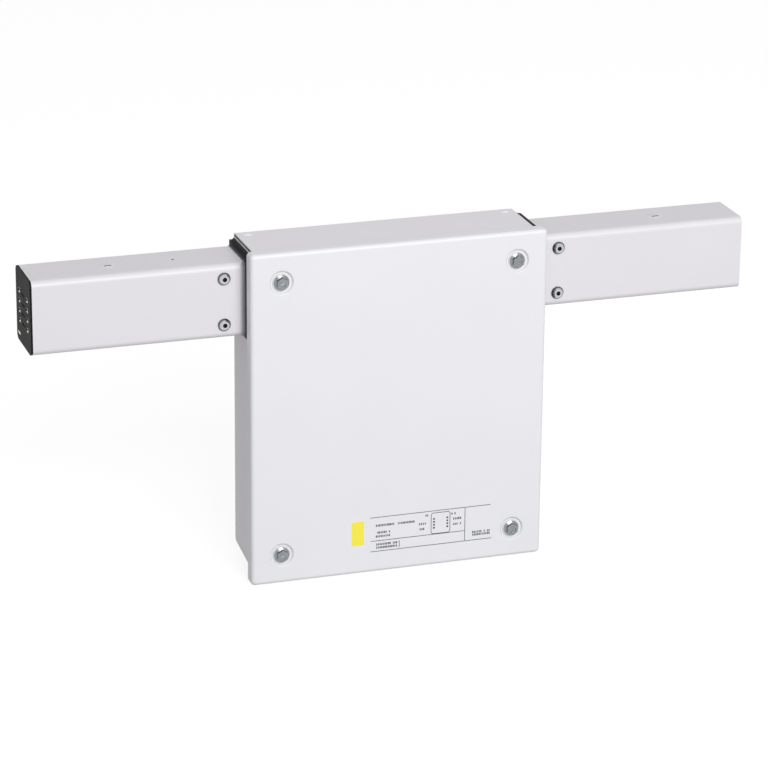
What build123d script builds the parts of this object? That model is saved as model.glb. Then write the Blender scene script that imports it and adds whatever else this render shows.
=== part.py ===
"""Centre feed unit of a low-current busbar trunking line.

A flat sheet-steel box hangs on the line. A trunking stub comes out of each side of it, near the
top, and mates with the next length of the line. Eight bars run through both stubs, and a lead
from each bar drops to the supply terminals inside the box, behind a screwed front cover.

Millimetres. X runs along the line, the cover faces -Y and +Z is up. The origin is the centre of
the four fixing holes, on the rear face of the box.
"""
from build123d import *
from math import atan2, cos, degrees, radians
import os

os.makedirs("parts", exist_ok=True)

# Sheet metal
SHEET = 1.5
BEND = 3.0
FLANGE = 12.0
CLEAR = 0.3
RUNNING = 0.06
OVERCUT = 1.0

# Box
BOX_WIDTH = 218.0
BOX_HEIGHT = 244.0
BOX_DEPTH = 61.5
BOX_RISE = 30.0
GASKET_THICK = 2.0
GASKET_WIDTH = 7.0

# Front cover: a shallow pan over the box's mouth
COVER_SKIRT = 10.0
COVER_SIDE_GAP = 3.5
COVER_TOP_GAP = 0.5
COVER_DROP = 11.5
COVER_CORNER = 1.8
DISH_RADIUS = 9.6
DISH_FLOOR_RADIUS = 7.4
DISH_DEPTH = 1.8

# Cover screws, M5 with a hexagon flange head, on nylon washers
SCREW_SIDE_INSET = 23.5
SCREW_TOP_INSET = 22.5
SCREW_BOTTOM_INSET = 22.5
M5_RADIUS = 2.5
M5_FLANGE_RADIUS = 5.9
M5_FLANGE_THICK = 1.2
M5_HEX = 8.0
M5_HEAD_HEIGHT = 4.4
M5_NUT_HEX = 8.0
M5_NUT_THICK = 4.2
PRESS_NUT_HEX = 9.0
COVER_SCREW_GRIP = 10.0
WASHER_RADIUS = 6.6
WASHER_THICK = 0.8
SEAT_GAP = 0.05
NUT_COLLAR_RADIUS = 3.5
SEAT_STAND = 0.2
LIP_MARGIN = 9.0
HEX_CHAMFER = 0.4
HEAD_DIMPLE_RADIUS = 2.35
HEAD_DIMPLE_DEPTH = 0.5

# Trunking
TRUNK_HEIGHT = 56.0
TRUNK_DEPTH = 46.0
TRUNK_WALL = 1.2
TRUNK_CORNER = 4.5
TRUNK_DROP = 8.5
TRUNK_REAR_GAP = 2.0
LEFT_STUB = 163.0
RIGHT_STUB = 168.0
STUB_ENTRY = 12.0
DIMPLE_RADIUS = 6.0
DIMPLE_RISE = 1.1
DIMPLE_SLOT_LENGTH = 5.5
DIMPLE_SLOT_WIDTH = 1.4
DIMPLE_SLOT_FORWARD = 2.1
LEFT_DIMPLE_INSET = 62.0
RIGHT_DIMPLE_INSET = 62.5
PILOT_INSET = 111.0
PILOT_RADIUS = 1.1

# Rubber collar where a stub enters the box
COLLAR_STAND = 3.2
COLLAR_THICK = 2.6
COLLAR_NECK = 1.6

# Channel that ties the two stubs together through the box
CHANNEL_WALL = 1.5
CHANNEL_GAP = 0.2
CHANNEL_REACH = 42.0
CHANNEL_WINDOW_INSET = 18.0
CHANNEL_CORNER = 1.0
CHANNEL_SLOT_DEEP = 18.0
STUD_RADIUS = 2.5
STUD_PAST_NUT = 0.5
STUD_SPACING_X = 120.0
STUD_EDGE = 11.6
STUD_NUT_THICK = 4.0

# Stub screws, M5 with a button head
STUB_SCREW_OUT = 20.0
STUB_SCREW_SPACING = 35.0
BUTTON_RADIUS = 4.75
BUTTON_HEIGHT = 2.75
BUTTON_SOCKET = 3.0
BUTTON_SOCKET_DEPTH = 1.65
BUTTON_SLOPE = 1.7
BUTTON_SLANT = 1.15
BUTTON_GRIP = 6.0

# Bars and contacts
BAR_COLUMN = 12.5
BAR_PITCH = 7.5
BAR_COUNT = 4
BAR_DEEP = 5.0
BAR_THICK = 2.0
CARRIER_THICK = 8.0
SOCKET_FLANGE = 1.5
SOCKET_LENGTH = 34.0
SOCKET_MOUTH_DEEP = 5.0
SOCKET_MOUTH_HIGH = 3.2
CONTACT_RECESS = 0.8
PIN_SHROUD = 20.0
PIN_REACH = 14.0
PIN_BLOCK_LENGTH = 30.0
SLEEVE_TAIL = 4.0
SLEEVE_WALL = 0.5
SLEEVE_GAP = 1.3
FACE_GROOVE_DEPTH = 1.2
FACE_GROOVE_LENGTH = 10.0
FACE_GROOVE_WIDTH = 1.2
EARTH_BAR_DEEP = 8.0
EARTH_BAR_THICK = 2.0
EARTH_BAR_LIFT = 3.0
EARTH_BAR_REAR_GAP = 0.5

# Supply terminals on a top-hat rail
RAIL_DROP = 45.0
RAIL_LENGTH = 150.0
RAIL_SCREW_INSET = 8.0
RAIL_WIDTH = 35.0
RAIL_BASE = 27.0
RAIL_HEIGHT = 7.5
RAIL_THICK = 1.0
TERMINAL_WIDTH = 10.0
TERMINAL_HEIGHT = 46.0
TERMINAL_REACH = 40.0
TERMINAL_SHOULDER = 13.0
TERMINAL_NOSE = 26.0
TERMINAL_GAP = 0.2
TERMINAL_ENTRY_RADIUS = 2.4
TERMINAL_ENTRY_DEPTH = 7.0
TERMINAL_SCREW_RADIUS = 2.2
TERMINAL_SCREW_SPACING = 16.0
TERMINAL_SCREW_LENGTH = 5.0
TERMINAL_SCREW_DEPTH = 8.0
TERMINAL_STEP = 3.0
TERMINAL_FOOT = 3.5
SLOT_WIDTH = 0.7
CROSS_WIDTH = 0.8
CROSS_LENGTH = 4.6
CROSS_DEPTH = 1.2
END_STOP_WIDTH = 8.0
END_STOP_REACH = 24.0
END_STOP_ROUND = 5.0
END_STOP_HOLE_RADIUS = 2.4

# Leads from the bars to the terminals
LEAD_RADIUS = 1.5
LEAD_BEND = 6.0
TIGHT_LEAD_BEND = 5.0
LEAD_PLANE = -25.0
FRONT_LEAD_PLANE = -53.0
FRONT_LEAD_TURN = 9.0
FRONT_LEAD_FALL = 22.0
LEAD_STRIP = 1.0
STUD_LEAD_DROP = 12.0
CLAMP_WIDTH = 6.0
CLAMP_THICK = 1.2

# Gland plate under the box
GLAND_LENGTH = 166.0
GLAND_FRONT_INSET = 10.0
GLAND_REAR_INSET = 5.5
GLAND_THICK = 1.5
GLAND_SEAL = 1.0
GLAND_END_MARGIN = 12.0
GLAND_SIDE_MARGIN = 5.0
GLAND_CORNER = 3.0
GLAND_SCREW_INSET = 5.5
GLAND_SCREW_SIDE_INSET = 11.0
GLAND_SCREW_LENGTH = 8.0
CABLE_ENTRY_RADIUS = 12.75
SIDE_ENTRY_RADIUS = 10.25
ENTRY_SPACING = 48.0
PLUG_LIP = 2.2
PLUG_LIP_THICK = 1.6
PLUG_LIP_ROUND = 0.7
PLUG_SKIRT = 4.0
PLUG_WALL = 1.44
M4_RADIUS = 2.0
M4_HEAD_RADIUS = 3.8
M4_HEAD_HEIGHT = 2.2
M4_HEAD_ROUND = 0.8

# Fixing to the wall or hanger
FIXING_SPACING_X = 170.0
FIXING_SPACING_Z = 140.0
FIXING_RADIUS = 3.25
EARTH_STUD_X = 62.0
EARTH_STUD_RISE = 24.0
EARTH_STUD_LENGTH = 18.0
EARTH_NUT_THICK = 4.0
EARTH_NUT_GAP = 1.5
LUG_RADIUS = 5.0
LUG_THICK = 1.5
LUG_NECK = 4.4
LUG_REACH = 5.0
RIVET_RADIUS = 3.2
RIVET_RISE = 0.7
RIVET_TAIL = 1.6
RIVET_INSET = 9.0
RIVET_REAR = 9.0
TAB = 16.0
TAB_RELIEF = 4.0
WRAP_INSET = 1.0
REAR_RELIEF = 5.0

# Places worked out from the sizes above
BOX_TOP = BOX_RISE + BOX_HEIGHT / 2
BOX_BOTTOM = BOX_RISE - BOX_HEIGHT / 2
BOX_SIDE = BOX_WIDTH / 2
WRAP_SIDE = BOX_SIDE - WRAP_INSET
BOTTOM_FALL = COVER_DROP - SHEET - COVER_TOP_GAP
BOTTOM_ANGLE = degrees(atan2(BOTTOM_FALL, BOX_DEPTH))
BOX_FRONT_BOTTOM = BOX_BOTTOM - BOTTOM_FALL
COVER_TOP = BOX_TOP + COVER_TOP_GAP + SHEET
COVER_BOTTOM = BOX_BOTTOM - COVER_DROP
COVER_SIDE = BOX_SIDE + COVER_SIDE_GAP + SHEET
COVER_INNER = -BOX_DEPTH - GASKET_THICK
COVER_FACE = COVER_INNER - SHEET
TRUNK_REAR = -TRUNK_REAR_GAP
TRUNK_FRONT = TRUNK_REAR - TRUNK_DEPTH
TRUNK_TOP = BOX_TOP - TRUNK_DROP
TRUNK_MID_Y = (TRUNK_REAR + TRUNK_FRONT) / 2
TRUNK_MID_Z = TRUNK_TOP - TRUNK_HEIGHT / 2
CHANNEL_DEEP = TRUNK_DEPTH - 2 * TRUNK_WALL - 2 * CHANNEL_GAP
CHANNEL_HIGH = TRUNK_HEIGHT - 2 * TRUNK_WALL - 2 * CHANNEL_GAP
CHANNEL_END = BOX_SIDE + CHANNEL_REACH
LEFT_END = -BOX_SIDE - LEFT_STUB
RIGHT_END = BOX_SIDE + RIGHT_STUB
SCREW_X = COVER_SIDE - SCREW_SIDE_INSET
SCREW_TOP_Z = COVER_TOP - SCREW_TOP_INSET
SCREW_BOTTOM_Z = COVER_BOTTOM + SCREW_BOTTOM_INSET
DISH_FLOOR = COVER_FACE + DISH_DEPTH
LIP_BACK = -BOX_DEPTH + SHEET
THROUGH_BOX = BOX_DEPTH + COVER_SKIRT
TOP_LIP = SCREW_TOP_Z - LIP_MARGIN
BOTTOM_LIP = SCREW_BOTTOM_Z + LIP_MARGIN
BAR_ROWS = [TRUNK_MID_Z + (1.5 - i) * BAR_PITCH for i in range(BAR_COUNT)]
REAR_COLUMN = TRUNK_MID_Y + BAR_COLUMN
FRONT_COLUMN = TRUNK_MID_Y - BAR_COLUMN
RAIL_CENTRE = BOX_RISE - RAIL_DROP
RAIL_FRONT = -SHEET - RAIL_HEIGHT
CHANNEL_REAR = TRUNK_REAR - TRUNK_WALL - CHANNEL_GAP
STUD_LENGTH = CHANNEL_WALL + STUD_NUT_THICK + STUD_PAST_NUT - CHANNEL_REAR - SHEET
EARTH_BAR_Z = TRUNK_MID_Z - CHANNEL_HIGH / 2 + CHANNEL_WALL + EARTH_BAR_LIFT
EARTH_BAR_Y = CHANNEL_REAR - CHANNEL_WALL - EARTH_BAR_DEEP / 2 - EARTH_BAR_REAR_GAP
EARTH_STUD_Z = BOX_BOTTOM + EARTH_STUD_RISE
GLAND_DEEP = BOX_DEPTH - GLAND_FRONT_INSET - GLAND_REAR_INSET
GLAND_CENTRE_Y = -GLAND_REAR_INSET - GLAND_DEEP / 2
TERMINAL_BACK = RAIL_FRONT - CLEAR
TERMINAL_FRONT = TERMINAL_BACK - TERMINAL_REACH
LUG_BACK = -SHEET - EARTH_NUT_GAP - EARTH_NUT_THICK


def block(x0, x1, y0, y1, z0, z1):
    """A plain box between two corners."""
    size = (abs(x1 - x0), abs(y1 - y0), abs(z1 - z0))
    return Pos((x0 + x1) / 2, (y0 + y1) / 2, (z0 + z1) / 2) * Box(*size)


def rod(place, direction, radius, length):
    """A round rod that starts at a place and runs along a direction."""
    return extrude(Plane(origin=place, z_dir=direction) * Circle(radius), amount=length)


def hexagon(place, direction, across_flats, length):
    """A six-sided bar that starts at a place and runs along a direction."""
    outline = RegularPolygon(across_flats / 2, 6, major_radius=False)
    return extrude(Plane(origin=place, z_dir=direction) * outline, amount=length)


def across_trunk(x):
    """A sketch plane across the trunking, with its own x along the depth and y upwards."""
    return Plane(origin=(x, TRUNK_MID_Y, TRUNK_MID_Z), x_dir=(0, 1, 0), z_dir=(1, 0, 0))


def trunk_bar(x0, x1, deep, high, corner):
    """A solid bar of the trunking's section between two places along the line."""
    outline = RectangleRounded(deep, high, corner) if corner > 0 else Rectangle(deep, high)
    return extrude(across_trunk(x0) * outline, amount=x1 - x0)


def save(shape, node):
    """Write one node, as a single solid or a group of them."""
    solids = shape.solids()
    made = solids[0] if len(solids) == 1 else Compound(children=list(solids))
    made.label = node
    export_step(made, "parts/" + node + ".step")


def group(pieces):
    """Separate solids that share a node."""
    return Compound(children=[solid for piece in pieces for solid in piece.solids()])


def cover_screw_places():
    """Where the four cover screws stand, left to right and top to bottom."""
    return [(side * SCREW_X, z) for z in (SCREW_TOP_Z, SCREW_BOTTOM_Z) for side in (-1, 1)]


def fixing_places():
    """The four fixing holes in the back of the box."""
    half_x = FIXING_SPACING_X / 2
    half_z = FIXING_SPACING_Z / 2
    return [(side * half_x, level * half_z) for level in (1, -1) for side in (-1, 1)]


def channel_stud_places():
    """The four studs that carry the channel on the back of the box."""
    row = CHANNEL_HIGH / 2 - STUD_EDGE
    return [(side * STUD_SPACING_X / 2, TRUNK_MID_Z + level * row) for side in (-1, 1) for level in (-1, 1)]


def on_slope(shape):
    """Turn what was made on a level bottom, so that it lies on the box's sloping bottom."""
    hinge = Pos(0, 0, BOX_BOTTOM)
    return hinge * Rot(BOTTOM_ANGLE, 0, 0) * Pos(0, 0, -BOX_BOTTOM) * shape


def box_slab(x0, x1, front, rear, inset):
    """The box's side view between a front and a rear face, as a slab: its bottom falls to the front."""
    def bottom(y):
        return BOX_BOTTOM + y * BOTTOM_FALL / BOX_DEPTH + inset / cos(radians(BOTTOM_ANGLE))
    top = BOX_TOP - inset
    corners = [(rear, top), (front, top), (front, bottom(front)), (rear, bottom(rear))]
    side_view = Plane(origin=(min(x0, x1), 0, 0), x_dir=(0, 1, 0), z_dir=(1, 0, 0))
    return extrude(side_view * make_face(Polyline(*corners, close=True)), amount=abs(x1 - x0))


def bent(slab, radius):
    """A slab whose long edges are bends of that radius."""
    return fillet(slab.edges().filter_by(Axis.X), radius)


def box_hollow():
    """The room inside the folded back, top, bottom and lips, open at both sides."""
    reach = BOX_SIDE + OVERCUT
    return bent(box_slab(-reach, reach, LIP_BACK, -SHEET, SHEET), BEND - SHEET)


def box_mouth():
    """The opening between the two lips."""
    reach = BOX_SIDE + OVERCUT
    return block(-reach, reach, -BOX_DEPTH - OVERCUT, LIP_BACK + OVERCUT, BOTTOM_LIP, TOP_LIP)


def rivet_holes():
    """Cutters for the rivets in the top and in the sloping bottom."""
    start = BOX_TOP + OVERCUT
    length = 2 * SHEET + 2 * OVERCUT
    top = [rod((x, y, start), (0, 0, -1), RIVET_RADIUS / 2, length) for x, y in rivet_places()]
    low = [on_slope(rod((x, y, BOX_BOTTOM - OVERCUT), (0, 0, 1), RIVET_RADIUS / 2, length))
           for x, y in rivet_places()]
    return top + low


def gland_mouth(low, high):
    """The room over the gland plate, between two levels of a level bottom."""
    half_x = GLAND_LENGTH / 2 - GLAND_END_MARGIN
    half_y = GLAND_DEEP / 2 - GLAND_SIDE_MARGIN
    return block(-half_x, half_x, GLAND_CENTRE_Y - half_y, GLAND_CENTRE_Y + half_y, low, high)


def housing_body():
    """Back, top and sloping bottom of the box, folded from one sheet, with wide lips at the mouth."""
    body = bent(box_slab(-WRAP_SIDE, WRAP_SIDE, -BOX_DEPTH, 0, 0), BEND)
    body -= box_hollow()
    body -= box_mouth()
    through = SHEET + 2 * OVERCUT
    for x, z in cover_screw_places():
        body -= rod((x, LIP_BACK + OVERCUT, z), (0, -1, 0), NUT_COLLAR_RADIUS + RUNNING, through)
    for x, z in fixing_places():
        body -= rod((x, OVERCUT, z), (0, -1, 0), FIXING_RADIUS, through)
    for x in rail_screw_places():
        body -= rod((x, OVERCUT, RAIL_CENTRE), (0, -1, 0), M4_RADIUS + RUNNING, through)
    body -= on_slope(gland_mouth(BOX_BOTTOM - OVERCUT, BOX_BOTTOM + SHEET + OVERCUT))
    for x, y in gland_screw_places():
        body -= on_slope(rod((x, y, BOX_BOTTOM - OVERCUT), (0, 0, 1), M4_RADIUS + RUNNING, through))
    for hole in rivet_holes():
        body -= hole
    return body


def side_panel(side):
    """A side of the box: a pan with folds in front, behind, above and below, and a notch for the stub."""
    outer = side * BOX_SIDE
    tab_end = side * (BOX_SIDE - TAB)
    past_tab = tab_end - side * OVERCUT
    outward = Axis.X if side > 0 else -Axis.X
    panel = box_slab(outer, tab_end, -BOX_DEPTH, -SHEET, SHEET)
    panel = fillet(panel.faces().sort_by(outward)[-1].edges(), BEND)
    room = box_slab(side * (BOX_SIDE - SHEET), past_tab, LIP_BACK, -2 * SHEET, 2 * SHEET)
    panel -= fillet(room.faces().sort_by(outward)[-1].edges(), BEND - SHEET)
    panel &= box_hollow() + box_mouth()
    fold = side * (BOX_SIDE - BEND)
    lip_end = side * (BOX_SIDE - FLANGE)
    low_z = TRUNK_TOP - TRUNK_HEIGHT
    stand = COLLAR_STAND + CLEAR
    panel -= block(lip_end, past_tab, -BOX_DEPTH - OVERCUT, LIP_BACK + CLEAR, BOX_FRONT_BOTTOM, BOX_TOP)
    for y0, y1, z in ((-BOX_DEPTH, LIP_BACK + TAB_RELIEF, BOX_TOP - 2 * SHEET - CLEAR),
                      (-REAR_RELIEF, 0, low_z - stand)):
        panel -= block(fold, past_tab, y0, y1, z, BOX_TOP)
        panel -= on_slope(block(fold, past_tab, y0, y1, BOX_BOTTOM, BOX_BOTTOM + 2 * SHEET + CLEAR))
    for start, reach, grow in ((outer + side * OVERCUT, side * (BOX_SIDE - BEND), COLLAR_NECK),
                               (side * (BOX_SIDE - SHEET), past_tab, stand)):
        panel -= block(start, reach, TRUNK_FRONT - grow, OVERCUT, low_z - grow, TRUNK_TOP + grow)
    for hole in rivet_holes():
        panel -= hole
    return panel


def rivet_places():
    """Rivets that tie the side panels to the top and bottom, seen from above."""
    return [(side * (BOX_SIDE - RIVET_INSET), -RIVET_REAR) for side in (-1, 1)]


def rivet(x, y, level):
    """A blind rivet through one face and a side panel's tab: level is 1 on top, -1 below."""
    face = BOX_TOP if level > 0 else BOX_BOTTOM
    cap_radius = (RIVET_RADIUS ** 2 + RIVET_RISE ** 2) / (2 * RIVET_RISE)
    ball = Pos(x, y, face + level * (RIVET_RISE - cap_radius)) * Sphere(cap_radius)
    room = 2 * RIVET_RADIUS
    head = ball & block(x - room, x + room, y - room, y + room, face, face + level * (RIVET_RISE + OVERCUT))
    inside = face + level * RIVET_RISE / 4
    shank = rod((x, y, inside), (0, 0, -level), RIVET_RADIUS / 2 - RUNNING, 2 * SHEET + RIVET_TAIL)
    made = head + shank
    return made if level > 0 else on_slope(made)


def press_nut(x, z):
    """A press nut in the box's lip, with its collar forward as the cover's seat."""
    seat = DISH_FLOOR + SHEET + SEAT_STAND
    inside = LIP_BACK + M5_NUT_THICK / 2
    nut = hexagon((x, LIP_BACK, z), (0, 1, 0), PRESS_NUT_HEX, M5_NUT_THICK)
    nut += rod((x, inside, z), (0, -1, 0), NUT_COLLAR_RADIUS, inside - seat)
    return nut - rod((x, 0, z), (0, -1, 0), M5_RADIUS + RUNNING, THROUGH_BOX)


def dish(x, z, start, grow):
    """A round soft-edged plug that sinks a screw's seat into the cover, thicker by grow all round."""
    rim = DISH_RADIUS + grow
    foot = DISH_FLOOR_RADIUS + grow
    floor = start + DISH_DEPTH
    middle = (rim + foot) / 2
    halfway = (start + floor) / 2
    soft = Spline((rim, start), (middle, halfway), (foot, floor), tangents=((-1, 0), (-1, 0)))
    outline = soft + Polyline((foot, floor), (0, floor), (0, start), (rim, start))
    half_view = Plane(origin=(x, 0, z), x_dir=(1, 0, 0), z_dir=(0, 0, 1))
    return revolve(half_view * make_face(outline), axis=Axis((x, 0, z), (0, 1, 0)))


def front_cover():
    """A pan with bent edges and a sunk seat for the screw in each corner."""
    back = COVER_FACE + COVER_SKIRT
    pan = block(-COVER_SIDE, COVER_SIDE, COVER_FACE, back, COVER_BOTTOM, COVER_TOP)
    pan = fillet(pan.edges().filter_by(Axis.Y), COVER_CORNER + SHEET)
    pan = fillet(pan.faces().sort_by(Axis.Y)[0].edges(), BEND)
    hollow = block(-COVER_SIDE + SHEET, COVER_SIDE - SHEET, COVER_INNER, back + OVERCUT,
                   COVER_BOTTOM + SHEET, COVER_TOP - SHEET)
    hollow = fillet(hollow.edges().filter_by(Axis.Y), COVER_CORNER)
    hollow = fillet(hollow.faces().sort_by(Axis.Y)[0].edges(), BEND - SHEET)
    pan -= hollow
    for x, z in cover_screw_places():
        pan += dish(x, z, COVER_INNER, SHEET / 2)
        pan -= dish(x, z, COVER_FACE, 0)
        pan -= rod((x, 0, z), (0, -1, 0), M5_RADIUS + CLEAR, THROUGH_BOX)
    return pan


def cover_gasket():
    """A foam frame glued inside the cover, pressed on the lips of the box."""
    side = BOX_SIDE - BEND - 2 * CLEAR
    top = BOX_TOP - BEND
    low = BOX_FRONT_BOTTOM + BEND
    w = GASKET_WIDTH
    ring = block(-side, side, COVER_INNER, -BOX_DEPTH, low, top)
    ring -= block(-side + w, side - w, COVER_INNER - OVERCUT, 0, low + w, top - w)
    for x, z in cover_screw_places():
        ring -= rod((x, 0, z), (0, -1, 0), DISH_RADIUS + SHEET + CLEAR, THROUGH_BOX)
    return ring


def cover_washer(x, z):
    """A nylon washer under a cover screw."""
    start = DISH_FLOOR - SEAT_GAP
    ring = rod((x, start, z), (0, -1, 0), WASHER_RADIUS, WASHER_THICK)
    return ring - rod((x, 0, z), (0, -1, 0), M5_RADIUS + RUNNING, THROUGH_BOX)


def cover_screw(x, z):
    """An M5 screw with a hexagon flange head, a shallow dimple in it and a plain point."""
    seat = DISH_FLOOR - SEAT_GAP - WASHER_THICK - SEAT_GAP
    tip = DISH_FLOOR + SHEET + COVER_SCREW_GRIP
    flange_edge = Plane(origin=(x, seat, z), z_dir=(0, -1, 0)) * Circle(M5_FLANGE_RADIUS)
    flange_top = Plane(origin=(x, seat - M5_FLANGE_THICK, z), z_dir=(0, -1, 0)) * Circle(M5_HEX / 2)
    screw = loft([flange_edge, flange_top])
    inside = seat - M5_FLANGE_THICK / 2
    crown = seat - M5_HEAD_HEIGHT
    head = hexagon((x, inside, z), (0, -1, 0), M5_HEX, inside - crown)
    top_face = head.faces().sort_by(Axis.Y)[0]
    screw += chamfer(top_face.edges(), HEX_CHAMFER)
    screw += rod((x, inside, z), (0, 1, 0), M5_RADIUS, tip - inside)
    screw -= rod((x, crown - OVERCUT, z), (0, 1, 0), HEAD_DIMPLE_RADIUS, OVERCUT + HEAD_DIMPLE_DEPTH)
    return screw


def stub_casing(side):
    """A trunking casing from inside the box to its open end, with its catch dimple on top."""
    end = LEFT_END + SOCKET_FLANGE if side < 0 else RIGHT_END
    inside = side * (BOX_SIDE - STUB_ENTRY)
    low, high = min(end, inside), max(end, inside)
    casing = trunk_bar(low, high, TRUNK_DEPTH, TRUNK_HEIGHT, TRUNK_CORNER)
    dimple_x = LEFT_END + LEFT_DIMPLE_INSET if side < 0 else RIGHT_END - RIGHT_DIMPLE_INSET
    casing += catch_dimple(dimple_x)
    wall = 2 * TRUNK_WALL
    casing -= trunk_bar(low - OVERCUT, high + OVERCUT, TRUNK_DEPTH - wall, TRUNK_HEIGHT - wall,
                        TRUNK_CORNER - TRUNK_WALL)
    half_slot = DIMPLE_SLOT_LENGTH / 2
    slot_rear = TRUNK_MID_Y - DIMPLE_SLOT_FORWARD
    casing -= block(dimple_x - half_slot, dimple_x + half_slot, slot_rear - DIMPLE_SLOT_WIDTH, slot_rear,
                    TRUNK_TOP - TRUNK_WALL - OVERCUT, TRUNK_TOP + DIMPLE_RISE + OVERCUT)
    if side < 0:
        casing -= rod((LEFT_END + PILOT_INSET, TRUNK_MID_Y, TRUNK_TOP + OVERCUT), (0, 0, -1), PILOT_RADIUS,
                      TRUNK_WALL + 2 * OVERCUT)
    for z in stub_screw_rows():
        x = side * (BOX_SIDE + STUB_SCREW_OUT)
        casing -= rod((x, TRUNK_REAR + OVERCUT, z), (0, -1, 0), M5_RADIUS + CLEAR, TRUNK_DEPTH + 2 * OVERCUT)
    return casing


def catch_dimple(x):
    """A shallow pressed dome on top of the trunking."""
    cap_radius = (DIMPLE_RADIUS ** 2 + DIMPLE_RISE ** 2) / (2 * DIMPLE_RISE)
    ball = Pos(x, TRUNK_MID_Y, TRUNK_TOP + DIMPLE_RISE - cap_radius) * Sphere(cap_radius)
    reach = DIMPLE_RADIUS + OVERCUT
    slab = block(x - reach, x + reach, TRUNK_MID_Y - reach, TRUNK_MID_Y + reach,
                 TRUNK_TOP - TRUNK_WALL / 2, TRUNK_TOP + DIMPLE_RISE + OVERCUT)
    return ball & slab


def stub_screw_rows():
    """Heights of the two screws in each face of a stub."""
    return [TRUNK_MID_Z + level * STUB_SCREW_SPACING / 2 for level in (1, -1)]


def entry_collar(side):
    """A rubber collar with a groove for the side panel, round a stub where it enters the box."""
    outer = side * (BOX_SIDE + COLLAR_THICK)
    inner = side * (BOX_SIDE - SHEET - COLLAR_THICK)
    face = side * BOX_SIDE
    neck_end = side * (BOX_SIDE - SHEET)
    low_z = TRUNK_TOP - TRUNK_HEIGHT
    collar = block(face, outer, TRUNK_FRONT - COLLAR_STAND, -CLEAR, low_z - COLLAR_STAND,
                   TRUNK_TOP + COLLAR_STAND)
    collar = fillet(collar.edges().filter_by(Axis.X).sort_by(Axis.Y)[:2], COLLAR_STAND)
    neck = COLLAR_NECK - RUNNING
    collar += block(face, neck_end, TRUNK_FRONT - neck, -SHEET - CLEAR, low_z - neck, TRUNK_TOP + neck)
    collar += block(neck_end, inner, TRUNK_FRONT - COLLAR_STAND, -SHEET - CLEAR,
                    low_z - COLLAR_STAND, TRUNK_TOP + COLLAR_STAND)
    low, high = min(outer, inner), max(outer, inner)
    grow = 2 * RUNNING
    return collar - trunk_bar(low - OVERCUT, high + OVERCUT, TRUNK_DEPTH + grow, TRUNK_HEIGHT + grow,
                              TRUNK_CORNER)


def conductor_channel():
    """A square steel tube inside both stubs, cut open at the front and below inside the box."""
    end = CHANNEL_END
    tube = trunk_bar(-end, end, CHANNEL_DEEP, CHANNEL_HIGH, TRUNK_CORNER - TRUNK_WALL - CHANNEL_GAP)
    wall = 2 * CHANNEL_WALL
    tube -= trunk_bar(-end - OVERCUT, end + OVERCUT, CHANNEL_DEEP - wall, CHANNEL_HIGH - wall, CHANNEL_CORNER)
    window = BOX_SIDE - CHANNEL_WINDOW_INSET
    half = CHANNEL_HIGH / 2 - CHANNEL_WALL
    front = CHANNEL_REAR - CHANNEL_DEEP
    tube -= block(-window, window, front - OVERCUT, front + CHANNEL_WALL + CHANNEL_CORNER,
                  TRUNK_MID_Z - half, TRUNK_MID_Z + half)
    tube -= block(-window, window, TRUNK_MID_Y - CHANNEL_SLOT_DEEP / 2, TRUNK_MID_Y + CHANNEL_SLOT_DEEP / 2,
                  TRUNK_MID_Z - half - CHANNEL_WALL - OVERCUT, TRUNK_MID_Z - half + CHANNEL_CORNER)
    for side in (-1, 1):
        for z in stub_screw_rows():
            x = side * (BOX_SIDE + STUB_SCREW_OUT)
            tube -= rod((x, TRUNK_REAR, z), (0, -1, 0), M5_RADIUS + RUNNING, TRUNK_DEPTH)
    for x, z in channel_stud_places():
        tube -= rod((x, 0, z), (0, -1, 0), STUD_RADIUS + RUNNING, STUD_LENGTH + SHEET)
    return tube


def channel_studs():
    """Shouldered studs welded to the back of the box, under the channel."""
    studs = []
    for x, z in channel_stud_places():
        stud = rod((x, -SHEET, z), (0, -1, 0), 2 * STUD_RADIUS, -SHEET - CHANNEL_REAR)
        studs.append(stud + rod((x, -SHEET, z), (0, -1, 0), STUD_RADIUS, STUD_LENGTH))
    return group(studs)


def nut(x, y, z, thick):
    """A hexagon nut on a stud, from its back face forwards."""
    body = hexagon((x, y, z), (0, -1, 0), M5_NUT_HEX, thick)
    return body - rod((x, y + OVERCUT, z), (0, -1, 0), STUD_RADIUS + RUNNING, thick + 2 * OVERCUT)


def channel_nuts():
    """Nuts that hold the channel on its studs."""
    seat = CHANNEL_REAR - CHANNEL_WALL
    return group([nut(x, seat, z, STUD_NUT_THICK) for x, z in channel_stud_places()])


def button_screw(x, z, face, way, height, slope, socket_depth):
    """A button-head screw on a face of a stub: way is -1 in front and 1 behind."""
    base = Plane(origin=(x, face, z), z_dir=(0, way, 0)) * Circle(BUTTON_RADIUS)
    head = extrude(base, amount=height)
    crown = head.faces().sort_by(Axis.Y)[0 if way < 0 else -1]
    head = chamfer(crown.edges(), slope, slope * BUTTON_SLANT, reference=crown)
    inside = face + way * height / 4
    screw = head + rod((x, inside, z), (0, -way, 0), M5_RADIUS, BUTTON_GRIP + height / 4)
    top = face + way * (height + OVERCUT)
    return screw - hexagon((x, top, z), (0, -way, 0), BUTTON_SOCKET, socket_depth + OVERCUT)


def stub_screws(side):
    """Button-head screws through a stub's casing into the channel, two in front and two behind."""
    x = side * (BOX_SIDE + STUB_SCREW_OUT)
    low_head = TRUNK_REAR_GAP - CLEAR
    screws = []
    for z in stub_screw_rows():
        screws.append(button_screw(x, z, TRUNK_FRONT, -1, BUTTON_HEIGHT, BUTTON_SLOPE, BUTTON_SOCKET_DEPTH))
        screws.append(button_screw(x, z, TRUNK_REAR, 1, low_head, low_head / 2, low_head / 2))
    return group(screws)


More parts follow.
